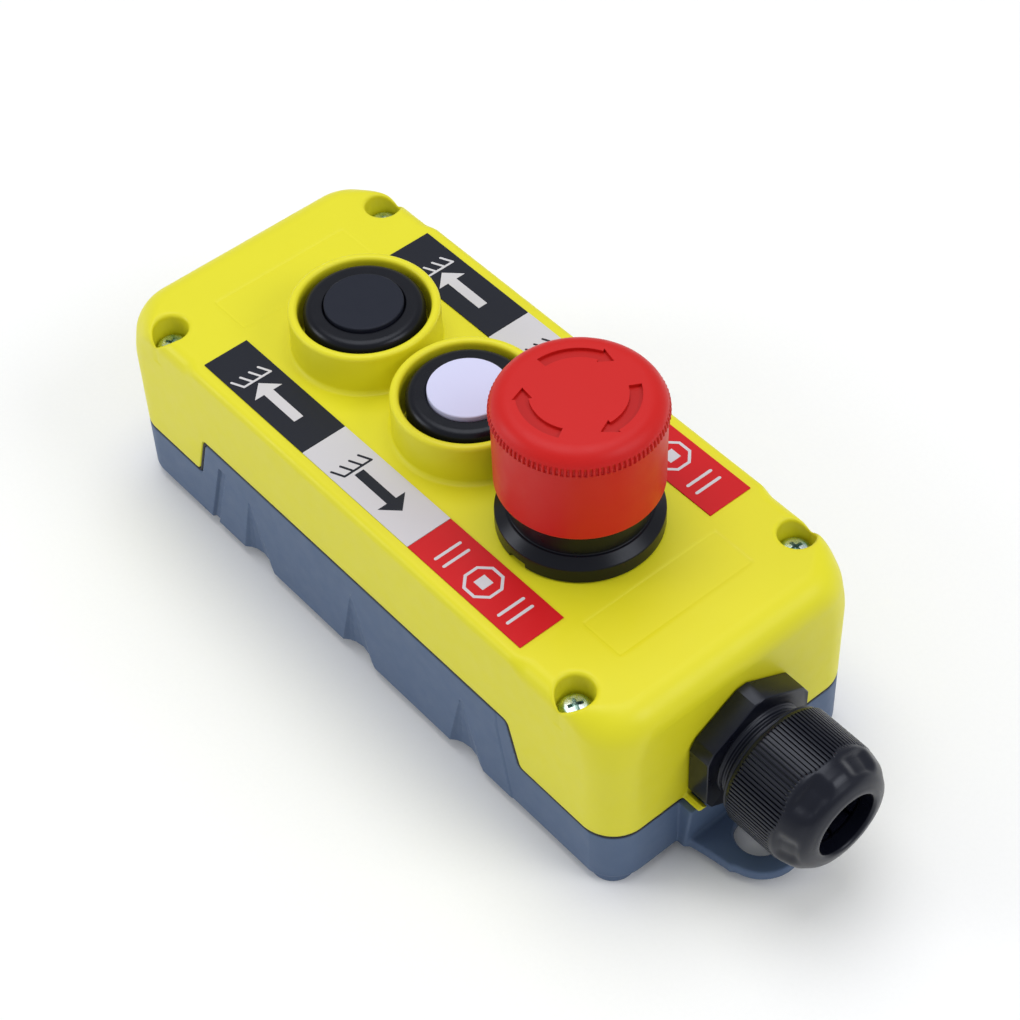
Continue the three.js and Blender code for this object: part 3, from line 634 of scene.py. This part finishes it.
class Nodes:
    """A material's node tree with short ways to add and join nodes."""

    def __init__(self, name):
        self.material = bpy.data.materials.new(name)
        self.material.use_nodes = True
        self.tree = self.material.node_tree
        self.shader = self.tree.nodes["Principled BSDF"]
        self.place = self.tree.nodes.new("ShaderNodeTexCoord").outputs["Object"]

    def join(self, output, target):
        self.tree.links.new(output, target)

    def noise(self, scale, detail=2.0, place=None):
        node = self.tree.nodes.new("ShaderNodeTexNoise")
        node.inputs["Scale"].default_value = scale
        node.inputs["Detail"].default_value = detail
        self.join(place or self.place, node.inputs["Vector"])
        return node.outputs["Fac"]

    def between(self, value, low, high):
        node = self.tree.nodes.new("ShaderNodeMapRange")
        node.inputs["From Min"].default_value = 0.3
        node.inputs["From Max"].default_value = 0.7
        node.inputs["To Min"].default_value = low
        node.inputs["To Max"].default_value = high
        self.join(value, node.inputs["Value"])
        return node.outputs["Result"]

    def tint(self, value, dark, light):
        node = self.tree.nodes.new("ShaderNodeMix")
        node.data_type = "RGBA"
        node.inputs["A"].default_value = dark
        node.inputs["B"].default_value = light
        self.join(value, node.inputs["Factor"])
        return node.outputs["Result"]

    def painted_shade(self, colour, share):
        """Painted shade: the colour, darkened to the given share on faces that carry the mark, to
        stand in for the shade in recesses.
        """
        mark = self.tree.nodes.new("ShaderNodeAttribute")
        mark.attribute_name = "painted_shade"
        node = self.tree.nodes.new("ShaderNodeMix")
        node.data_type = "RGBA"
        node.blend_type = "MULTIPLY"
        node.inputs["B"].default_value = (share, share, share, 1)
        self.join(colour, node.inputs["A"])
        self.join(mark.outputs["Fac"], node.inputs["Factor"])
        return node.outputs["Result"]

    def bump(self, value, distance, strength=1.0, normal=None):
        node = self.tree.nodes.new("ShaderNodeBump")
        node.inputs["Distance"].default_value = distance
        node.inputs["Strength"].default_value = strength
        self.join(value, node.inputs["Height"])
        if normal:
            self.join(normal, node.inputs["Normal"])
        self.join(node.outputs["Normal"], self.shader.inputs["Normal"])
        return node.outputs["Normal"]

    def stretched(self, x, y, z):
        node = self.tree.nodes.new("ShaderNodeMapping")
        node.inputs["Scale"].default_value = (x, y, z)
        self.join(self.place, node.inputs["Vector"])
        return node.outputs["Vector"]


def shaded(colour, share):
    """A colour made darker or lighter by a factor."""
    return tuple(channel * share for channel in colour[:3]) + (1,)


def plastic(name, colour, roughness, grain=0.012, variation=0.03, sheen=0.35):
    """Moulded plastic: fine spark-eroded grain, a slightly uneven colour and a patchy polish."""
    nodes = Nodes(name)
    dark, light = shaded(colour, 1 - variation), shaded(colour, 1 + variation)
    tone = nodes.tint(nodes.noise(70, 3), dark, light)
    # Marked faces get painted shade: their colour is darkened to 0.84 to stand in for the shade in
    # recesses.
    nodes.join(nodes.painted_shade(tone, 0.84), nodes.shader.inputs["Base Color"])
    nodes.join(
        nodes.between(nodes.noise(240, 4), roughness * 0.9, roughness * 1.12),
        nodes.shader.inputs["Roughness"],
    )
    waves = nodes.bump(nodes.noise(60, 2), 0.00006, 0.25)
    nodes.bump(nodes.noise(2600, 3), grain * MM, 0.5, waves)
    nodes.shader.inputs["Specular IOR Level"].default_value = sheen
    nodes.shader.inputs["Specular Tint"].default_value = (0.86, 0.9, 1, 1)
    return nodes.material


def metal(name, colour, roughness, second=None):
    """Drawn or plated metal with fine scratches, and a second tint where the plating thickens."""
    nodes = Nodes(name)
    patches = nodes.noise(420, 3)
    nodes.join(
        nodes.tint(nodes.between(patches, 0, 1), colour, second or shaded(colour, 0.86)),
        nodes.shader.inputs["Base Color"],
    )
    scratches = nodes.noise(900, 4, nodes.stretched(1, 6, 1))
    nodes.join(
        nodes.between(scratches, roughness * 0.7, roughness * 1.4),
        nodes.shader.inputs["Roughness"],
    )
    nodes.bump(scratches, 0.00001, 0.4)
    nodes.shader.inputs["Metallic"].default_value = 1
    return nodes.material


def rubber(name, colour):
    """Dull rubber with a little dust on it."""
    nodes = Nodes(name)
    dust = nodes.noise(500, 5)
    nodes.join(nodes.tint(dust, colour, shaded(colour, 1.6)), nodes.shader.inputs["Base Color"])
    nodes.join(nodes.between(dust, 0.62, 0.85), nodes.shader.inputs["Roughness"])
    nodes.bump(nodes.noise(1800, 3), 0.00002, 0.6)
    return nodes.material


FINISHES = {
    "cover_yellow": plastic("cover_yellow", linear(223, 216, 34), 0.42, 0.008, 0.015),
    "base_slate": plastic("base_slate", linear(84, 102, 130), 0.5, 0.014, 0.03, 0.25),
    "black_plastic": plastic("black_plastic", linear(13, 14, 21), 0.3, 0.006, 0.03, 0.25),
    "cap_black": plastic("cap_black", linear(28, 31, 42), 0.5, 0.012, 0.03, 0.2),
    "cap_white": plastic("cap_white", linear(208, 209, 238), 0.4, 0.006, 0.01),
    "red_plastic": plastic("red_plastic", linear(197, 26, 21), 0.42, 0.008, 0.02, 0.25),
    "legend_black": plastic("legend_black", linear(24, 26, 35), 0.45, 0.004, 0.02, 0.25),
    "legend_white": plastic("legend_white", linear(203, 201, 205), 0.45, 0.004, 0.01),
    "legend_red": plastic("legend_red", linear(200, 24, 28), 0.45, 0.004, 0.02, 0.2),
    "black_rubber": rubber("black_rubber", linear(20, 21, 25)),
    "zinc_screw": metal("zinc_screw", linear(232, 240, 236), 0.26, linear(150, 186, 180)),
    "spring_steel": metal("spring_steel", linear(190, 194, 198), 0.3),
    "brass": metal("brass", linear(214, 184, 110), 0.32),
    "nylon_natural": plastic("nylon_natural", linear(222, 220, 206), 0.5),
    "block_plastic": plastic("block_plastic", linear(70, 73, 80), 0.5),
    "gland_nylon": plastic("gland_nylon", linear(13, 15, 26), 0.3, 0.01, 0.06, 0.36),
}


def dressed(obj, slot, body, *nodes):
    """Gives a new piece its finish and its CAD body, and hides the CAD nodes that it stands for."""
    obj.data.materials.clear()
    obj.data.materials.append(FINISHES[slot])
    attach(obj, body)
    if nodes:
        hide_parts(*nodes)
    return obj


def dress_frame():
    """Gives every CAD node the finish that the record names for it."""
    slots = {part["node"]: part["material_slot"] for part in frame["record"]["subparts"]}
    for node, obj in frame["nodes"].items():
        obj.data.materials.clear()
        obj.data.materials.append(FINISHES[slots[node]])
        obj.data.shade_smooth()
        obj.data.set_sharp_from_angle(angle=math.radians(32))


# ---------------------------------------------------------------- housing


def add_housing():
    """Cover, base and seal, each meshed inside a box a little larger than itself."""
    margin = 1.3
    back, side = -HALF_LENGTH - margin, HALF_WIDTH + margin
    step = 0.6
    cover_low = (back, -side, COVER_TOP - 0.125 - 66 * step)
    cover_high = (HALF_LENGTH + 5.5 + margin, side, COVER_TOP + COLLAR_HEIGHT + margin)
    cover = skin("cover_skin", cover_field, cover_low, cover_high, step, 0.3)
    dressed(cover, "cover_yellow", "housing", "front_cover")
    base_low = (back, -side, -margin)
    base_high = (115.5 + margin, side, PARTING_MIDDLE + margin)
    base = skin("base_skin", base_field, base_low, base_high, 0.5, 0.25)
    dressed(base, "base_slate", "housing", "rear_base")
    seal_low = (back, -side, PARTING_END - 3)
    seal_high = (HALF_LENGTH + margin, side, PARTING_MIDDLE + 3)
    seal = skin("seal_skin", gasket_field, seal_low, seal_high, 0.3, 0.2)
    dressed(seal, "black_rubber", "housing", "cover_gasket")


def cross_recess(bottom, top):
    """The tapered cross that a screwdriver fits."""
    tools = []
    for turn in (0, 1):
        long, short = (2.15, 0.5), (1.0, 0.3)
        if turn:
            long, short = long[::-1], short[::-1]
        corners = [(-1, -1), (1, -1), (1, 1), (-1, 1)]
        points = [(sx * short[0], sy * short[1], bottom) for sx, sy in corners]
        points += [(sx * long[0], sy * long[1], top) for sx, sy in corners]
        faces = [(3, 2, 1, 0), (4, 5, 6, 7)]
        faces += [(k, (k + 1) % 4, 4 + (k + 1) % 4, 4 + k) for k in range(4)]
        tools.append(mesh_object("cross", points, faces))
    return tools


def add_screws():
    """Four pan-head screws in their wells, each left at its own angle."""
    profile = [
        (0, -40.6), (1.9, -39.1, 0.3), (1.9, 0.3, 0.1), (3.9, 0.3, 0.2), (3.9, 1.6, 0.9),
        (2.9, 2.6, 1.2), (0, 2.9),
    ]
    places = [(1, -1), (-1, -1), (1, 1), (-1, 1)]
    for number, (x, y) in enumerate(places, 1):
        screw = turned("screw", profile, upright(0, 0, 0), 48)
        carved(screw, cross_recess(1.0, 3.3))
        turn = math.radians(17 + 53 * number)
        c, s = math.cos(turn), math.sin(turn)
        spin = np.array([[c, s, 0], [-s, c, 0], [0, 0, 1]])
        corner = np.array([x * SCREW_X, y * SCREW_Y, SCREW_SEAT])
        move(screw, lambda points: points @ spin + corner)
        screw.name = f"screw_{number}"
        dressed(screw, "zinc_screw", "housing", f"cover_screw_{number}")


# ---------------------------------------------------------------- legends


def flat_shape(name, outlines, height, slot):
    """Thin printed shapes, each a convex or plain outline, lying at one height."""
    points, faces = [], []
    for outline in outlines:
        start = len(points)
        points += [(x, y, height) for x, y in outline]
        faces.append(tuple(range(start, len(points))))
    obj = mesh_object(name, points, faces)
    solid = obj.modifiers.new("film", "SOLIDIFY")
    solid.thickness = 0.03 * MM
    solid.offset = 1
    applied(obj)
    return dressed(obj, slot, "housing")


def stroke(start, end, width):
    """A straight bar with round ends."""
    start, end = np.array(start, float), np.array(end, float)
    along = (end - start) / np.linalg.norm(end - start)
    across = np.array([-along[1], along[0]])
    outline = []
    for centre, sense in ((end, 1), (start, -1)):
        for k in range(7):
            angle = math.radians(-90 + 30 * k)
            spoke = math.cos(angle) * along + math.sin(angle) * across
            outline.append(centre + sense * width / 2 * spoke)
    return outline


def hoist_arrow(tail, tip, middle):
    """A straight arrow along x, as two outlines."""
    sense = math.copysign(1, tip - tail)
    half_shaft, half_head = 1.35, 4.1
    neck = tip - sense * half_head
    low, high = middle - half_shaft, middle + half_shaft
    shaft = [(tail, low), (neck, low), (neck, high), (tail, high)]
    head = [(neck, middle - half_head), (tip, middle), (neck, middle + half_head)]
    if sense < 0:
        shaft, head = shaft[::-1], head[::-1]
    return [shaft, head]


def load_comb(x, middle):
    """The fixed edge with four slanting strokes that the arrow moves towards or away from."""
    width = 0.62
    strokes = [stroke((x, middle - 4.0), (x, middle + 4.0), width)]
    for k in range(4):
        base = middle - 4.0 + 8.0 * k / 3
        strokes.append(stroke((x, base), (x - 3.2, base - 1.45), width))
    return strokes


def ring_shape(x, y, outer, inner, corners, turn):
    """A closed band between two polygons, as one outline per side."""
    def corner(radius, k):
        angle = turn + 2 * math.pi * k / corners
        return (x + radius * math.cos(angle), y + radius * math.sin(angle))

    return [
        [corner(outer, k), corner(outer, k + 1), corner(inner, k + 1), corner(inner, k)]
        for k in range(corners)
    ]


def stop_sign(x, middle):
    """An octagon with a filled square, between two pairs of bars."""
    shapes = ring_shape(x, middle, 5.0, 4.2, 8, math.pi / 8)
    corners = [(-1.6, -1.6), (1.6, -1.6), (1.6, 1.6), (-1.6, 1.6)]
    shapes.append([(x + across, middle + along) for across, along in corners])
    for offset in (-9.5, -12.5, 9.5, 12.5):
        shapes.append(stroke((x + offset, middle - 3.6), (x + offset, middle + 3.6), 0.8))
    return shapes


def add_pictogram(meaning, row, x, middle, height):
    """The print on one plate. A comb's slanting strokes lie a hair above its edge."""
    name = f"print_{meaning}_{row}"
    if meaning == "stop":
        flat_shape(name, stop_sign(x, middle), height, "legend_white")
        return
    if meaning == "raise":
        arrow, slot = hoist_arrow(x + 10.35, x - 5.65, middle), "legend_white"
    else:
        arrow, slot = hoist_arrow(x - 5.75, x + 10.4, middle), "legend_black"
    flat_shape(name, arrow, height, slot)
    for k, bar in enumerate(load_comb(x - 6.9, middle + 0.65)):
        flat_shape(f"{name}_{k}", [bar], height + (0.006 if k else 0), slot)


def add_legends():
    """Plates with slightly rounded edges, and the pictograms printed on them."""
    for meaning, (x, slot) in LEGENDS.items():
        for row in ("near", "far"):
            node = f"legend_{meaning}_{row}"
            low, high = (np.array(corner) / MM - [ORIGIN_X, 0, 0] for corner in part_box(node))
            (left, near, bottom), (right, far, top) = low, high
            outline = [(left, near), (right, near), (right, far), (left, far)]
            plate = bevelled(prism(f"plate_{meaning}_{row}", outline, bottom, top), 0.06)
            dressed(plate, slot, "housing", node)
            add_pictogram(meaning, row, x, (near + far) / 2 - 0.35, top)


# ---------------------------------------------------------------- operators


def key_notch(angle, half_angle, top, depth):
    """A small notch in a rim, below a height."""
    def ripple(radius, height, angles):
        away = np.abs((angles - angle + math.pi) % (2 * math.pi) - math.pi)
        rim = (away < half_angle) & (height < top) & (radius > 14)
        return np.where(rim, -depth, 0.0)

    return ripple


def add_push_buttons():
    """Bezels with their threaded barrels, and caps that slide in them."""
    bezel = [
        (4.8, -14), (10.85, -14, 0.5), (10.85, 1.6), (14.9, 1.6, 0.4), (14.9, 12, 2.3),
        (10, 12, 0.45), (10, 2.4), (7.6, 2.4, 0.3), (7.6, -9), (4.8, -9, 0.3),
    ]
    caps = {"raise_button": (12.9, 0.0, "cap_black"), "lower_button": (13.3, 0.25, "cap_white")}
    notch = key_notch(math.radians(-168), 0.06, 8.5, 0.5)
    for name, x in BUTTONS.items():
        top, crown, slot = caps[name]
        cap = [
            (0, -16.8), (4.5, -16.8, 0.5), (4.5, 6.9, 0.6), (9.75, 6.9, 0.2),
            (9.75, top - crown, 0.4), (5, top - crown / 4, 12), (0, top),
        ]
        ring = turned(f"{name}_ring", bezel, upright(x), 180, notch)
        dressed(ring, "black_plastic", "housing", f"{name}_bezel")
        dressed(turned(f"{name}_face", cap, upright(x), 144), slot, name, f"{name}_cap")


def knurl(radius, height, angle):
    """Fine ribs round the top of the stop head's skirt."""
    band = smooth_step((height - 35.7) / 0.15) * smooth_step((38.0 - height) / 0.5)
    outer = radius > 19
    ribs = np.clip(np.cos(angle * 100) * 1.6, -1, 1)
    return np.where(outer, band * (ribs * 0.3 - 0.12), 0.0)


def release_arrow(turn):
    """A curved arrow that runs clockwise round the stop head's top."""
    inner, outer = 11.0, 13.9
    middle = (inner + outer) / 2
    start, sweep, head = (math.radians(a) for a in (180 - 120 * turn, 64, 16))

    def at(radius, angle):
        return (radius * math.cos(angle), radius * math.sin(angle))

    back = [start - sweep * k / 24 for k in range(25)]
    tip = [at(outer + 0.8, back[-1]), at(middle, back[-1] - head), at(inner - 0.8, back[-1])]
    outline = [at(outer, a) for a in back] + tip + [at(inner, a) for a in reversed(back)]
    return outline[::-1]


def shade_arrow_floors(head, height):
    """Marks the floors of the arrows for painted shade, which darkens their colour to stand in for
    the shade in the recesses.
    """
    floors = [abs(face.center.z / MM - height) < 0.05 for face in head.data.polygons]
    mark = head.data.attributes.new("painted_shade", "FLOAT", "FACE")
    mark.data.foreach_set("value", np.array(floors, dtype=np.float32))


def add_stop_button():
    """The black collar on the cover and the red mushroom head above it."""
    flange = [
        (6.6, -14), (10.85, -14, 0.5), (10.85, 1.6), (18, 1.6), (18, 0.3), (19.7, 0.3, 0.3),
        (19.7, 4.4, 0.5), (17.3, 6.4, 0.6), (16.7, 6.5, 0.3), (16.7, 17, 0.5), (14.6, 17, 0.3),
        (14.6, 4), (9.6, 4, 0.4), (9.6, -9.4), (6.6, -9.4, 0.3),
    ]
    notch = key_notch(math.radians(-89), 0.115, 1.5, 1.1)
    dressed(
        turned("stop_collar", flange, upright(STOP_X), 240, notch, 1.2),
        "black_plastic", "housing", "stop_button_flange",
    )
    head = [
        (3.3, 20), (6.4, 20, 0.3), (6.4, 37.5, 0.5), (15, 37.5, 0.8), (17.3, 35, 1.2),
        (17.3, 14.7, 0.4), (19.55, 14.7, 0.7), (19.65, 35.5, 0.12), (20, 35.75, 0.15), (20, 41, 4.6),
        (0, 41), (0, 36), (3.3, 36),
    ]
    mushroom = turned("stop_mushroom", head, upright(STOP_X), 600, knurl, 0.9)
    floor = COVER_TOP + 40.2
    tools = []
    for turn in range(3):
        outline = [(x + STOP_X, y) for x, y in release_arrow(turn)]
        tools.append(prism("arrow", outline, floor, COVER_TOP + 42))
    carved(mushroom, tools)
    # Painted shade on the arrows' floors.
    shade_arrow_floors(mushroom, floor)
    dressed(mushroom, "red_plastic", "stop_head", "stop_button_head")


def coil(name, x, radius, wire, bottom, top, turns):
    """A round-wire spring whose end turns lie flat."""
    steps, sides = turns * 40, 10
    share = np.linspace(0, 1, steps + 1)
    angle = share * turns * 2 * math.pi
    rise = smooth_step((share * turns - 0.3) / (turns - 0.6)) * 0.25
    rise = rise + 0.75 * np.clip((share * turns - 0.3) / (turns - 0.6), 0, 1)
    height = bottom + wire + (top - bottom - 2 * wire) * rise
    around = np.arange(sides) * 2 * math.pi / sides
    out = radius + wire * np.cos(around)[None, :]
    points = np.stack([
        out * np.cos(angle)[:, None],
        out * np.sin(angle)[:, None],
        height[:, None] + wire * np.sin(around)[None, :],
    ], -1).reshape(-1, 3)
    faces = [tuple(range(sides)), tuple(range(steps * sides, (steps + 1) * sides))[::-1]]
    for i in range(steps):
        for k in range(sides):
            here, following = i * sides + k, i * sides + (k + 1) % sides
            faces.append((here, here + sides, following + sides, following))
    obj = mesh_object(name, upright(x)(points), faces)
    shade(obj, 40)
    return obj


def add_spring(spring, button):
    """Gives a spring its finish and its body, hides the CAD spring, and gives the piece a mesh of
    its own.
    """
    dressed(spring, "spring_steel", "housing", f"{button}_spring")
    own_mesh(spring)


def add_springs():
    for name, x in BUTTONS.items():
        spring = coil(f"{name}_coil", x, 6, 0.45, -8.7, 6.6, 5)
        add_spring(spring, name)
    spring = coil("stop_coil", STOP_X, 7.6, 0.5, -9.1, 2.7, 4)
    add_spring(spring, "stop_button")


# ---------------------------------------------------------------- gland


def spigot_thread(radius, height, angle):
    """A right-hand thread on the gland body's spigot."""
    turn = (height / SPIGOT_PITCH + angle / (2 * math.pi)) % 1
    tooth = np.abs(turn - 0.5) * 2
    run = smooth_step((height - 7.2) / 0.8) * smooth_step((19.6 - height) / 0.5)
    return np.where(radius > 12, -0.45 * run * smooth_step(tooth * 1.3 - 0.15), 0.0)


def nut_shape(radius, height, angle):
    """A ring at the nut's back, narrow grooves along its barrel and six scoops on its dome."""
    back = NUT_BACK - HALF_LENGTH
    outer = radius > SPIGOT_RADIUS + 0.6
    scoop = smooth_step(0.5 + 0.62 * np.cos(NUT_SCOOPS * (angle - math.radians(32))))
    rib_end = back + 14.8 + 1.2 * (1 - scoop)
    run = smooth_step((height - back - 1.6) / 0.25) * smooth_step((rib_end - height) / 0.5)
    grooves = smooth_step((np.cos(angle * NUT_RIBS) - 0.1) / 0.7)
    ring = smooth_step((height - back - 0.45) / 0.15) * smooth_step((back + 0.95 - height) / 0.15)
    hollow = smooth_step((height - back - 16) / 1.4) * smooth_step((back + 22.4 - height) / 2.2)
    relief = 0.15 * run - 0.5 * run * grooves - 0.3 * ring - 1.3 * hollow * scoop
    return np.where(outer, relief, 0.0)


def cut_hexagon(across_flats, trim):
    """A hexagon with trimmed corners, one corner on the first axis."""
    radius = across_flats / math.sqrt(3)
    turns = [k * math.pi / 3 for k in range(6)]
    corners = [np.array([math.cos(turn), math.sin(turn)]) * radius for turn in turns]
    outline = []
    for k, corner in enumerate(corners):
        for other in (corners[k - 1], corners[(k + 1) % 6]):
            outline.append(corner + (other - corner) / np.linalg.norm(other - corner) * trim)
    return outline


def add_gland_body():
    """The hexagon against the housing and the threaded spigot that runs through it."""
    hexagon_piece = prism("gland_hex", cut_hexagon(HEX_ACROSS_FLATS, 1.9), 0.3, 6.5)
    bevelled(hexagon_piece, 0.35)
    bore = turned("bore", [(0, -1), (12, -1), (12, 8), (0, 8)], upright(0, 0, 0), 96)
    carved(hexagon_piece, [bore], 24)
    move(hexagon_piece, along_gland)
    dressed(hexagon_piece, "gland_nylon", "housing", "gland_body")
    spigot = [
        (8.2, -14, 0.3), (9.6, -14, 0.5), (9.6, 1.7), (11.4, 1.7), (12.7, 1.7), (12.7, 6.8, 0.2),
        (SPIGOT_RADIUS, 7.0), (SPIGOT_RADIUS, 20, 0.4), (9.9, 20, 0.3), (9.9, 9.4), (8.2, 9.4, 0.3),
    ]
    tube = turned("gland_spigot", spigot, along_gland, 128, spigot_thread, 0.16, 60)
    dressed(tube, "gland_nylon", "housing")


def add_gland_nut():
    """The domed nut, and the rubber seal that it squeezes round the cable."""
    back = NUT_BACK - HALF_LENGTH
    end = GLAND_END - HALF_LENGTH
    nut = [
        (12.9, back), (15.1, back, 0.2), (15.4, back + 1.4, 0.2), (15.75, back + 1.7, 0.1),
        (15.75, end - 7.4, 9), (14.7, end - 3.4, 5), (12.2, end - 0.7, 4), (9.9, end, 3),
        (8.4, end, 0.8), (8.4, end - 4, 0.5), (11, end - 7), (12.9, end - 10),
    ]
    dome = turned("gland_dome", nut, along_gland, 846, nut_shape, 0.45, 60)
    dressed(dome, "gland_nylon", "gland_nut", "gland_dome_nut")
    seal = [(6.4, 12.4, 0.8), (9.5, 12.4, 0.2), (9.5, 20.6, 0.2), (6.4, 20.6, 0.8)]
    grommet = turned("gland_grommet", seal, along_gland, 96)
    dressed(grommet, "black_rubber", "gland_clamp", "gland_seal")


# ---------------------------------------------------------------- camera, light and floor


def add_camera():
    """A long lens that looks down on the station from beyond its gland end."""
    data = bpy.data.cameras.new("camera")
    data.lens = 88.81
    data.sensor_width = 36
    camera = bpy.data.objects.new("camera", data)
    bpy.context.scene.collection.objects.link(camera)
    right = Vector((0.65082239, 0.75867573, -0.0290061))
    forward = Vector((-0.51638548, 0.41432255, -0.74945504))
    up = right.cross(forward)
    turn = Matrix((right, up, -forward)).transposed()
    camera.matrix_world = Matrix.Translation((0.30754, -0.24976, 0.49047)) @ turn.to_4x4()
    bpy.context.scene.camera = camera


def add_lamp(name, place, size, power):
    """A round area lamp that points at the middle of the housing."""
    data = bpy.data.lights.new(name, "AREA")
    data.shape = "DISK"
    data.size = size
    data.energy = power
    lamp = bpy.data.objects.new(name, data)
    lamp.location = place
    aim = Vector((0, 0, 0.03)) - Vector(place)
    lamp.rotation_euler = aim.to_track_quat("-Z", "Y").to_euler()
    bpy.context.scene.collection.objects.link(lamp)


def add_light():
    """A pale sky and three soft lamps."""
    world = bpy.data.worlds.new("studio")
    world.use_nodes = True
    sky = world.node_tree.nodes["Background"]
    sky.inputs["Color"].default_value = (0.95, 0.97, 1.0, 1)
    sky.inputs["Strength"].default_value = 0.52
    bpy.context.scene.world = world
    add_lamp("over", (-0.2, 0.1, 1.1), 0.9, 5.4)
    add_lamp("left", (-0.75, -0.85, 0.55), 0.5, 3.0)
    add_lamp("end", (0.75, 0.35, 0.8), 0.6, 3.2)
    bpy.context.scene.view_settings.view_transform = "Standard"


def add_floor():
    """A wide sheet of white paper under the feet."""
    corners = [(-4000, -4000, 0), (4000, -4000, 0), (4000, 4000, 0), (-4000, 4000, 0)]
    floor = mesh_object("floor", corners, [(0, 1, 2, 3)])
    nodes = Nodes("floor_paper")
    paper = nodes.tint(nodes.noise(900, 4), (0.93, 0.93, 0.93, 1), (0.96, 0.96, 0.96, 1))
    nodes.join(paper, nodes.shader.inputs["Base Color"])
    nodes.shader.inputs["Roughness"].default_value = 0.9
    nodes.shader.inputs["Specular IOR Level"].default_value = 0.1
    floor.data.materials.append(nodes.material)


add_camera()
add_light()
add_floor()
dress_frame()
add_housing()
add_screws()
add_legends()
add_push_buttons()
add_stop_button()
add_springs()
add_gland_body()
add_gland_nut()
